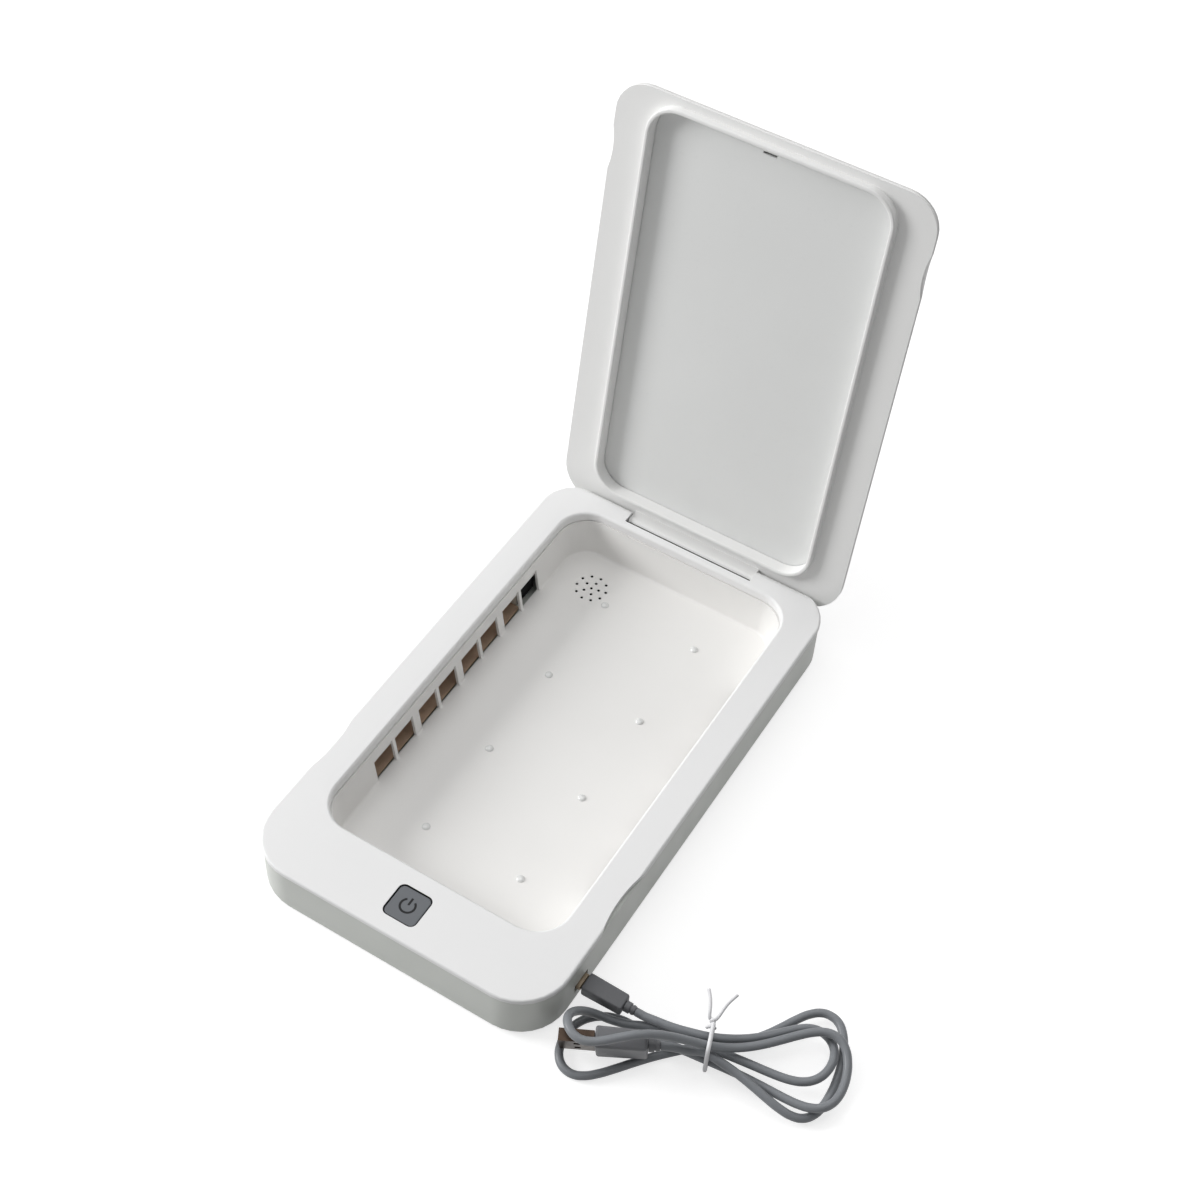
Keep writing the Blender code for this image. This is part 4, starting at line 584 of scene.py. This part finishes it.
finishes = {
    "whiteShell": {
        "colour": srgb(238, 238, 237), "clouding": 0.02, "roughness": 0.48, "smear": 0.05, "specular": 0.25,
        "grainScale": 2600.0, "grainHeight": 0.000012,
    },
    "deckShell": {
        "colour": srgb(240, 240, 240), "clouding": 0.015, "roughness": 0.46, "smear": 0.05, "specular": 0.25,
        "grainScale": 2600.0, "grainHeight": 0.000010,
    },
    "housingShell": {
        "colour": srgb(208, 211, 206), "clouding": 0.03, "roughness": 0.42, "smear": 0.06,
        "grainScale": 2300.0, "grainHeight": 0.000016,
    },
    "chamberTub": {
        "colour": srgb(239, 238, 236), "clouding": 0.03, "roughness": 0.36, "smear": 0.07,
        "grainScale": 2400.0, "grainHeight": 0.000014,
    },
    "lidPanel": {
        "colour": srgb(230, 231, 230), "clouding": 0.03, "roughness": 0.46, "smear": 0.06,
        "grainScale": 1700.0, "grainHeight": 0.000030, "speckle": 0.08,
    },
    "buttonCap": {
        "colour": srgb(106, 109, 113), "clouding": 0.05, "roughness": 0.52, "smear": 0.05, "specular": 0.35,
        "grainScale": 1900.0, "grainHeight": 0.000026, "speckle": 0.12,
    },
    "holder": {
        "colour": srgb(222, 218, 208), "clouding": 0.05, "roughness": 0.55, "smear": 0.06,
        "grainScale": 1500.0, "grainHeight": 0.000025,
    },
    "blackMoulding": {
        "colour": srgb(30, 30, 32), "clouding": 0.10, "roughness": 0.42, "smear": 0.08,
        "grainScale": 1900.0, "grainHeight": 0.000020,
    },
    "canSleeve": {
        "colour": srgb(34, 42, 70), "clouding": 0.10, "roughness": 0.30, "smear": 0.06,
        "grainScale": 900.0, "grainHeight": 0.000015,
    },
    "coilTape": {
        "colour": srgb(196, 158, 60), "clouding": 0.12, "roughness": 0.40, "smear": 0.08,
        "grainScale": 700.0, "grainHeight": 0.000030,
    },
    "tieCoat": {
        "colour": srgb(236, 236, 238), "clouding": 0.05, "roughness": 0.45, "smear": 0.06,
        "grainScale": 1500.0, "grainHeight": 0.000040, "cloudScale": 160.0,
    },
    "clearGel": {
        "colour": srgb(226, 227, 226), "clouding": 0.04, "roughness": 0.12, "smear": 0.05,
        "grainScale": 900.0, "grainHeight": 0.000006, "specular": 0.9,
    },
    "gapShade": {
        "colour": srgb(12, 12, 13), "clouding": 0.10, "roughness": 0.75, "smear": 0.05,
        "grainScale": 1500.0, "grainHeight": 0.000020, "specular": 0.1,
    },
    "iconPaint": {
        "colour": srgb(14, 15, 17), "clouding": 0.12, "roughness": 0.55, "smear": 0.05, "specular": 0.3,
        "grainScale": 1800.0, "grainHeight": 0.000020,
    },
}
plastics = {name: mouldedPlastic(name, look) for name, look in finishes.items()}
plugSteel = brushedMetal("plugSteel", {
    "colour": srgb(72, 59, 50), "metal": 0.85, "roughness": 0.34, "stretch": (0.12, 1.0, 1.0),
    "hairScale": 1100.0, "hairHeight": 0.000004, "patinaScale": 160.0, "patina": 0.60,
})
tipSteel = brushedMetal("tipSteel", {
    "colour": srgb(168, 152, 132), "metal": 0.8, "roughness": 0.38, "stretch": (0.12, 1.0, 1.0),
    "hairScale": 1100.0, "hairHeight": 0.000003, "patinaScale": 200.0, "patina": 0.70,
})
plainSteel = brushedMetal("plainSteel", {
    "colour": srgb(182, 182, 186), "metal": 1.0, "roughness": 0.34, "stretch": (1.0, 1.0, 0.2),
    "hairScale": 1600.0, "hairHeight": 0.000010, "patinaScale": 220.0, "patina": 0.65,
})
lampReflector = brushedMetal("lampReflector", {
    "colour": srgb(218, 190, 164), "metal": 0.35, "roughness": 0.50, "stretch": (1.0, 0.06, 1.0),
    "hairScale": 900.0, "hairHeight": 0.000014, "patinaScale": 90.0, "patina": 0.70,
})
jacket = softRubber("cableJacket", {
    "colour": cable["jacket"], "clouding": 0.05, "cloudScale": 130.0, "roughness": 0.40,
    "skinScale": 1900.0, "skinHeight": 0.000020, "specular": 0.3,
})
plugJacket = softRubber("plugJacket", {
    "colour": srgb(108, 109, 112), "clouding": 0.06, "cloudScale": 200.0, "roughness": 0.50,
    "skinScale": 2600.0, "skinHeight": 0.000030,
})
footRubber = softRubber("footRubber", {
    "colour": srgb(40, 40, 41), "clouding": 0.15, "cloudScale": 260.0, "roughness": 0.75,
    "skinScale": 1300.0, "skinHeight": 0.000050,
})
lampGlass = quartzGlass("lampGlass", {
    "colour": srgb(226, 224, 232), "transmission": 0.85, "refraction": 1.46, "roughness": (0.04, 0.12),
    "stretch": (1.0, 0.12, 1.0), "streakScale": 420.0, "streakTint": 0.93,
})
felt = feltPad("feltPad", {
    "colour": srgb(52, 47, 43), "tints": (0.8, 1.08), "roughness": 0.95, "sheen": 0.3,
    "fibres": (((1.0, 0.35, 1.0), 1800.0), ((0.35, 1.0, 1.0), 2100.0)), "height": 0.0002, "strength": 0.8,
})
laminate = boardLaminate("boardLaminate", {
    "colour": srgb(24, 96, 52), "fieldTint": 0.85, "roughness": 0.35, "coat": 0.4,
    "track": srgb(96, 150, 84), "trackScale": 240.0, "trackWidth": 0.035, "trackHeight": 0.00004,
    "weaveScale": 900.0, "weaveShare": 0.25, "weaveTint": 0.6, "strength": 0.6,
})
print("materials: %d" % len(bpy.data.materials))


# Which finish each CAD node wears
wears = {
    "top_cover": plastics["deckShell"],
    "lower_housing": plastics["housingShell"],
    "chamber_tub": plastics["chamberTub"],
    "lid_cover": plastics["whiteShell"],
    "lid_frame": plastics["whiteShell"],
    "lid_panel": plastics["lidPanel"],
    "power_button": plastics["buttonCap"],
    "reflector_left": lampReflector,
    "reflector_right": lampReflector,
    "uv_tube_left": lampGlass,
    "uv_tube_right": lampGlass,
    "aroma_pad": felt,
    "circuit_board": laminate,
    "transformer": plastics["coilTape"],
    "capacitor": plastics["canSleeve"],
    "usb_receptacle": plainSteel,
    "hinge_pin": plainSteel,
    "lid_magnet": plainSteel,
    "micro_tip": tipSteel,
    "usb_a_shell": plugSteel,
    "micro_overmould": plugJacket,
    "micro_relief": plugJacket,
    "usb_a_overmould": plugJacket,
    "usb_a_relief": plugJacket,
}
for name in ("tact_switch", "switch_plunger", "driver_chip", "lid_sensor", "usb_a_tongue"):
    wears[name] = plastics["blackMoulding"]
for end in ("front", "rear"):
    for side in ("left", "right"):
        wears["tube_holder_%s_%s" % (side, end)] = plastics["holder"]
        wears["screw_%s_%s" % (end, side)] = plainSteel
        wears["foot_%s_%s" % (end, side)] = footRubber


# Shading of the CAD solids: facets up to this angle in degrees read as one surface
shading = {"angle": 34.0, "mergeDistance": 0.000002, "flatWeight": 80}


def softEdges():
    # joins the facets' corners and marks only the edges past the angle as sharp
    group = bpy.data.node_groups.new("softEdges", "GeometryNodeTree")
    group.interface.new_socket("Geometry", in_out="INPUT", socket_type="NodeSocketGeometry")
    group.interface.new_socket("Geometry", in_out="OUTPUT", socket_type="NodeSocketGeometry")
    entry = group.nodes.new("NodeGroupInput")
    leave = group.nodes.new("NodeGroupOutput")
    merge = group.nodes.new("GeometryNodeMergeByDistance")
    merge.inputs["Distance"].default_value = shading["mergeDistance"]
    edge = group.nodes.new("GeometryNodeInputMeshEdgeAngle")
    sharp = group.nodes.new("FunctionNodeCompare")
    sharp.operation = "GREATER_THAN"
    sharp.inputs[1].default_value = math.radians(shading["angle"])
    shade = group.nodes.new("GeometryNodeSetMeshNormal")
    shade.mode = "SHARPNESS"
    shade.inputs["Remove Custom"].default_value = True
    shade.inputs["Face Sharpness"].default_value = False
    group.links.new(entry.outputs[0], merge.inputs["Geometry"])
    group.links.new(merge.outputs["Geometry"], shade.inputs["Mesh"])
    group.links.new(edge.outputs["Unsigned Angle"], sharp.inputs[0])
    group.links.new(sharp.outputs["Result"], shade.inputs["Edge Sharpness"])
    group.links.new(shade.outputs["Mesh"], leave.inputs[0])
    return group


edgeShading = softEdges()


def dressNode(name, material):
    mesh = nodes[name].data
    if not mesh.materials:
        mesh.materials.append(material)
    for index in range(len(mesh.materials)):
        mesh.materials[index] = material
    nodes[name].modifiers.new("softEdges", "NODES").node_group = edgeShading
    weighted = nodes[name].modifiers.new("flatFacesFirst", "WEIGHTED_NORMAL")
    weighted.weight = shading["flatWeight"]
    weighted.keep_sharp = True


for name, material in wears.items():
    dressNode(name, material)
print("dressed %d nodes" % len(wears))


# Cable with its hank, one piece from plug to plug
jacketTube = smoothTube("cableJacket", cableRoute, cable["diameter"], cable["steps"], cable["roundness"])
jacketTube.data.materials.append(jacket)
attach(jacketTube, "cable")
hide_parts("cable_lead", "cable_hank")
print("cable jacket laid")

# Tie: plastic-coated wire round the hank, its ends twisted together and then spread.
# Places are in the hank's own frame, and the shares are of the wire's diameter.
tie = {
    "wire": 0.0016,
    "clearance": 0.0004,
    "bandShare": 0.96,
    "endShare": 0.80,
    "swingShare": 0.42,
    "square": 0.40,
    "sides": 40,
    "knot": (-0.0006, 0.0044, 0.0150),
    "twistLength": 0.0042,
    "twistBack": 0.6,
    "twistTurns": 1.5,
    "twistSteps": 10,
    "ends": (
        ((-0.0018, 0.0070, 0.0172), (-0.0026, 0.0104, 0.0184), (-0.0040, 0.0146, 0.0190)),
        ((0.0008, 0.0074, 0.0172), (0.0034, 0.0108, 0.0182), (0.0062, 0.0150, 0.0186)),
    ),
}


def tieBand():
    # round all the places where the cable crosses the hank's waist, down to the floor
    crossings = [a.lerp(b, a.x / (a.x - b.x)) for a, b in zip(hankRoute, hankRoute[1:])
                 if (a.x < 0.0) != (b.x < 0.0)]
    reach = cable["diameter"] / 2 + tie["clearance"] + tie["wire"] / 2
    low = (min(place.y for place in crossings) - reach, tie["wire"] / 2)
    high = (max(place.y for place in crossings) + reach, max(place.z for place in crossings) + reach)
    low, high = hundredths(low), hundredths(high)
    middle = [(a + b) / 2 for a, b in zip(low, high)]
    half = [(b - a) / 2 for a, b in zip(low, high)]
    points = []
    for k in range(tie["sides"]):
        angle = math.tau * k / tie["sides"]
        c, s = math.cos(angle), math.sin(angle)
        across = middle[0] + half[0] * math.copysign(abs(c) ** tie["square"], c)
        level = middle[1] + half[1] * math.copysign(abs(s) ** tie["square"], s)
        points.append(hankFrame() @ Vector((0.0, across, level)))
    return points


def twistedEnd(turnedBy, route):
    # a helix through the knot towards the route's first point, then on along the route
    start = Vector(tie["knot"])
    lean = (Vector(route[0]) - start).normalized()
    side = lean.cross(Vector((0.0, 0.0, 1.0))).normalized()
    other = lean.cross(side)
    swing = tie["wire"] * tie["swingShare"]
    points = []
    for k in range(tie["twistSteps"] + 1):
        share = k / tie["twistSteps"]
        angle = turnedBy + math.tau * tie["twistTurns"] * k / tie["twistSteps"]
        offset = side * math.cos(angle) * swing + other * math.sin(angle) * swing
        points.append(start + lean * (share - tie["twistBack"]) * tie["twistLength"] + offset)
    points.extend(Vector(place) for place in route[1:])
    return [hankFrame() @ point for point in points]


band = smoothTube("tieBand", tieBand(), tie["wire"] * tie["bandShare"], steps=3, closed=True)
tiePieces = [band]
for index, route in enumerate(tie["ends"]):
    path = twistedEnd(math.pi * index, route)
    tiePieces.append(smoothTube("tieEnd%d" % index, path, tie["wire"] * tie["endShare"]))
for piece in tiePieces:
    piece.data.materials.append(plastics["tieCoat"])
    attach(piece, "cable")
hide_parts("cable_tie")
print("tie: %d pieces" % len(tiePieces))

# Necks: the cable's core through each plug's strain relief
neck = {
    "diameter": 0.0024,
    "reach": 0.0068,
    "lap": 0.0006,
    "parts": 4,
    "ways": {"microNeck": (-1.0, 0.0, 0.0), "supplyNeck": (-0.898, -0.436, -0.052)},
}


def plugNeck(name, place):
    start, way = Vector(place), Vector(neck["ways"][name]).normalized()
    parts = neck["parts"]
    points = [start + way * (neck["reach"] * k / parts - neck["lap"] * (parts - k) / parts)
              for k in range(parts + 1)]
    core = smoothTube(name, points, neck["diameter"], steps=2, roundness=3)
    core.data.materials.append(plugJacket)
    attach(core, "cable")
    return core


necks = [plugNeck("microNeck", cableRoute[0]), plugNeck("supplyNeck", cableRoute[-1])]


# Power sign: dark paint in the groove of the button's cap. The bar's ends are shares of the radius.
sign = {
    "centre": (0.0005, -0.116669),
    "low": 0.02512,
    "high": 0.02532,
    "radius": 0.00283,
    "line": 0.00084,
    "openHalf": 36.0,
    "steps": 48,
    "bar": (1 / 7, 1.23),
}


def outlinePlate(name, outline, low, high):
    bm = bmesh.new()
    bottom = [bm.verts.new((x, y, low)) for x, y in outline]
    face = bm.faces.new(bottom)
    raised = bmesh.ops.extrude_face_region(bm, geom=[face])
    top = [v for v in raised["geom"] if isinstance(v, bmesh.types.BMVert)]
    bmesh.ops.translate(bm, vec=(0.0, 0.0, high - low), verts=top)
    bmesh.ops.recalc_face_normals(bm, faces=bm.faces)
    return meshFromBmesh(name, bm, smooth=False)


def addSign():
    x0, y0 = sign["centre"]
    half = sign["line"] / 2
    sweep = 360.0 - sign["openHalf"] * 2
    angles = [math.radians(90.0 + sign["openHalf"] + sweep * k / sign["steps"])
              for k in range(sign["steps"] + 1)]
    outer, inner = [[(x0 + radius * math.cos(angle), y0 + radius * math.sin(angle)) for angle in angles]
                    for radius in (sign["radius"] + half, sign["radius"] - half)]
    low, high = [y0 + sign["radius"] * share for share in sign["bar"]]
    bar = [(x0 - half, low), (x0 + half, low), (x0 + half, high), (x0 - half, high)]
    for name, outline in (("signRing", outer + inner[::-1]), ("signBar", bar)):
        plate = outlinePlate(name, outline, sign["low"], sign["high"])
        plate.data.materials.append(plastics["iconPaint"])
        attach(plate, "button")


addSign()
print("power sign inlaid")

# Clear rests on the chamber floor, two rows of four domes that stand a little in the floor
rests = {
    "acrossHalf": 0.0212,
    "first": -0.074669,
    "pitch": 0.0431,
    "rows": 4,
    "floor": 0.0046,
    "radius": 0.00165,
    "height": 0.00085,
    "sunk": 0.00010625,
    "rings": 6,
    "around": 28,
}


def restDome(name, x, y):
    bm = bmesh.new()
    around = rests["around"]
    low = rests["floor"] - rests["sunk"]
    tall = rests["height"] + rests["sunk"]
    previous = None
    for k in range(rests["rings"]):
        angle = math.radians(90.0 * k / rests["rings"])
        radius, level = rests["radius"] * math.cos(angle), low + tall * math.sin(angle)
        ring = [bm.verts.new((x + radius * math.cos(math.tau * j / around),
                              y + radius * math.sin(math.tau * j / around), level)) for j in range(around)]
        if previous:
            for j in range(around):
                bm.faces.new((previous[j], previous[(j + 1) % around], ring[(j + 1) % around], ring[j]))
        else:
            bm.faces.new(list(reversed(ring)))
        previous = ring
    tip = bm.verts.new((x, y, low + tall))
    for j in range(around):
        bm.faces.new((previous[j], previous[(j + 1) % around], tip))
    return meshFromBmesh(name, bm)


for side, way in (("Left", -1), ("Right", 1)):
    for row in range(rests["rows"]):
        along = rests["first"] + row * rests["pitch"]
        dome = restDome("rest%s%d" % (side, row), way * rests["acrossHalf"], along)
        dome.data.materials.append(plastics["clearGel"])
        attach(dome, "base")
print("rests: %d" % (rests["rows"] * 2))

# Painted shade: dark pieces in the gap round the button, in the hinge's slit and behind the last window of
# each lamp, where there is only shade
shades = {
    "buttonCentre": (0.0005, -0.116669),
    "buttonHalf": (0.00673, 0.00708),
    "buttonCorner": (0.00223, 0.00258),
    "buttonLevels": (0.02505, 0.02546),
    "slitHalf": 0.0292,
    "slitAcross": (0.08256, 0.08312),
    "slitLevels": (0.02470, 0.02556),
    "endShadeAcross": (0.05135, 0.05165),
    "endShadeAlong": (0.03495, 0.04690),
    "endShadeLevels": (0.0049, 0.0168),
    "easedShare": 1 / 6,
}


def roundedSquare(centre, half, corner, steps=8):
    points = []
    for turn, (sx, sy) in enumerate(((1, 1), (-1, 1), (-1, -1), (1, -1))):
        for k in range(steps + 1):
            angle = math.radians(90.0 * turn + 90.0 * k / steps)
            points.append((centre[0] + sx * (half - corner) + corner * math.cos(angle),
                           centre[1] + sy * (half - corner) + corner * math.sin(angle)))
    return points


def ringPlate(name, outer, inner, low, high):
    bm = bmesh.new()
    rows = [[bm.verts.new((x, y, level)) for x, y in outline]
            for outline, level in ((outer, low), (outer, high), (inner, high), (inner, low))]
    count = len(outer)
    for near, far in zip(rows, rows[1:] + rows[:1]):
        for j in range(count):
            bm.faces.new((near[j], near[(j + 1) % count], far[(j + 1) % count], far[j]))
    bmesh.ops.recalc_face_normals(bm, faces=bm.faces)
    return meshFromBmesh(name, bm, smooth=False)


def slimBar(name, low, high):
    # a bar with eased edges
    bm = bmesh.new()
    bmesh.ops.create_cube(bm, size=1.0)
    size = [b - a for a, b in zip(low, high)]
    bmesh.ops.scale(bm, vec=size, verts=bm.verts)
    bmesh.ops.translate(bm, vec=[(a + b) / 2 for a, b in zip(low, high)], verts=bm.verts)
    easing = min(size) * shades["easedShare"]
    bmesh.ops.bevel(bm, geom=list(bm.edges), offset=easing, segments=2, affect="EDGES")
    return meshFromBmesh(name, bm, smooth=False)


def addPaintedShades():
    inner, outer = [roundedSquare(shades["buttonCentre"], half, corner)
                    for half, corner in zip(shades["buttonHalf"], shades["buttonCorner"])]
    pieces = [ringPlate("buttonGapShade", outer, inner, *shades["buttonLevels"])]
    (y0, y1), (z0, z1) = shades["slitAcross"], shades["slitLevels"]
    pieces.append(slimBar("hingeSlitShade", (-shades["slitHalf"], y0, z0), (shades["slitHalf"], y1, z1)))
    (x0, x1), (y0, y1), (z0, z1) = [shades[key] for key in ("endShadeAcross", "endShadeAlong", "endShadeLevels")]
    pieces.append(slimBar("lampEndShadeLeft", (-x1, y0, z0), (-x0, y1, z1)))
    pieces.append(slimBar("lampEndShadeRight", (x0, y0, z0), (x1, y1, z1)))
    # painted shade: these dark pieces stand in for the shade inside the gaps and behind the lamp's last
    # window
    for piece in pieces:
        piece.data.materials.append(plastics["gapShade"])
        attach(piece, "base")


addPaintedShades()
print("dark linings set")

# Painted shade: dark discs in the vent's holes, just under the chamber floor, so the holes look shadowed and
# deep
vent = {
    "centre": (-0.0307, 0.059331),
    "pitch": 0.0032,
    "counts": (1, 5, 10),
    "turn": 83.0,
    "radius": 0.00058,
    "levels": (0.00390, 0.00440),
    "sides": 12,
}


def addVentHoleShade():
    bm = bmesh.new()
    low, high = vent["levels"]
    for ring, count in enumerate(vent["counts"]):
        for k in range(count):
            angle = math.radians(vent["turn"] + 360.0 * k / count)
            x = vent["centre"][0] + ring * vent["pitch"] * math.cos(angle)
            y = vent["centre"][1] + ring * vent["pitch"] * math.sin(angle)
            place = Matrix.Translation((x, y, (low + high) / 2))
            bmesh.ops.create_cone(bm, cap_ends=True, segments=vent["sides"], radius1=vent["radius"],
                                  radius2=vent["radius"], depth=high - low, matrix=place)
    holeShade = meshFromBmesh("ventHoleShade", bm, smooth=False)
    # painted shade: the discs stand in for the dark depth of the holes
    holeShade.data.materials.append(plastics["gapShade"])
    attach(holeShade, "base")


addVentHoleShade()
print("vent gauze set")

# Plain pale floor and soft light: lifted where it is seen, so the background stays clean and the shadow soft
studio = {
    "floorSize": 30.0,
    "floorLevel": -0.00002,
    "floorColour": srgb(192, 192, 192),
    "floorRoughness": 0.9,
    "floorSpecular": 0.1,
    "floorLift": 0.70,
    "worldFill": 0.25,
    "worldSeen": 0.84,
    "white": (1.0, 1.0, 1.0, 1.0),
}


def seenRay(tree):
    # 1 on what is seen straight on, in a mirror or through glass, and 0 where it only gives light
    path = addNode(tree, "ShaderNodeLightPath")
    first = addNode(tree, "ShaderNodeMath", operation="MAXIMUM")
    second = addNode(tree, "ShaderNodeMath", operation="MAXIMUM")
    tree.links.new(path.outputs["Is Camera Ray"], first.inputs[0])
    tree.links.new(path.outputs["Is Glossy Ray"], first.inputs[1])
    tree.links.new(first.outputs[0], second.inputs[0])
    tree.links.new(path.outputs["Is Transmission Ray"], second.inputs[1])
    return second.outputs[0]


def addFloor():
    bm = bmesh.new()
    half, level = studio["floorSize"] / 2, studio["floorLevel"]
    corners = ((-half, -half), (half, -half), (half, half), (-half, half))
    bm.faces.new([bm.verts.new((x, y, level)) for x, y in corners])
    floor = meshFromBmesh("floor", bm, smooth=False)
    material, tree, shader = startMaterial("floorPaper")
    shader.inputs["Base Color"].default_value = studio["floorColour"]
    shader.inputs["Roughness"].default_value = studio["floorRoughness"]
    shader.inputs["Specular IOR Level"].default_value = studio["floorSpecular"]
    lift = addNode(tree, "ShaderNodeEmission")
    lift.inputs["Color"].default_value = studio["white"]
    strength = addNode(tree, "ShaderNodeMath", operation="MULTIPLY")
    strength.inputs[1].default_value = studio["floorLift"]
    tree.links.new(seenRay(tree), strength.inputs[0])
    tree.links.new(strength.outputs[0], lift.inputs["Strength"])
    both = addNode(tree, "ShaderNodeAddShader")
    output = tree.nodes["Material Output"]
    tree.links.new(shader.outputs[0], both.inputs[0])
    tree.links.new(lift.outputs[0], both.inputs[1])
    tree.links.new(both.outputs[0], output.inputs["Surface"])
    floor.data.materials.append(material)


def addWorld():
    world = bpy.data.worlds.new("studioWorld")
    scene.world = world
    world.use_nodes = True
    tree = world.node_tree
    background = tree.nodes["Background"]
    background.inputs["Color"].default_value = studio["white"]
    strength = addNode(tree, "ShaderNodeMapRange")
    strength.inputs["To Min"].default_value = studio["worldFill"]
    strength.inputs["To Max"].default_value = studio["worldSeen"]
    tree.links.new(seenRay(tree), strength.inputs["Value"])
    tree.links.new(strength.outputs["Result"], background.inputs["Strength"])


# Square softboxes: places and sides in metres, power in watts
softboxes = {
    "overheadSoftbox": {"place": (-0.25, 0.15, 1.35), "target": (0.0, 0.0, 0.05), "side": 1.3, "power": 7.1},
    "leftSoftbox": {"place": (-1.32, -0.52, 0.72), "target": (0.0, 0.0, 0.05), "side": 0.6, "power": 18.8},
    "rearSoftbox": {"place": (0.15, 1.35, 0.85), "target": (0.0, 0.1, 0.1), "side": 0.9, "power": 4.0},
}


def addSoftbox(name, box):
    data = bpy.data.lights.new(name, "AREA")
    data.size = box["side"]
    data.energy = box["power"]
    lamp = link(bpy.data.objects.new(name, data))
    lamp.location = box["place"]
    aim = Vector(box["target"]) - Vector(box["place"])
    lamp.rotation_euler = aim.to_track_quat("-Z", "Y").to_euler()


addFloor()
addWorld()
for name, box in softboxes.items():
    addSoftbox(name, box)
print("studio ready")
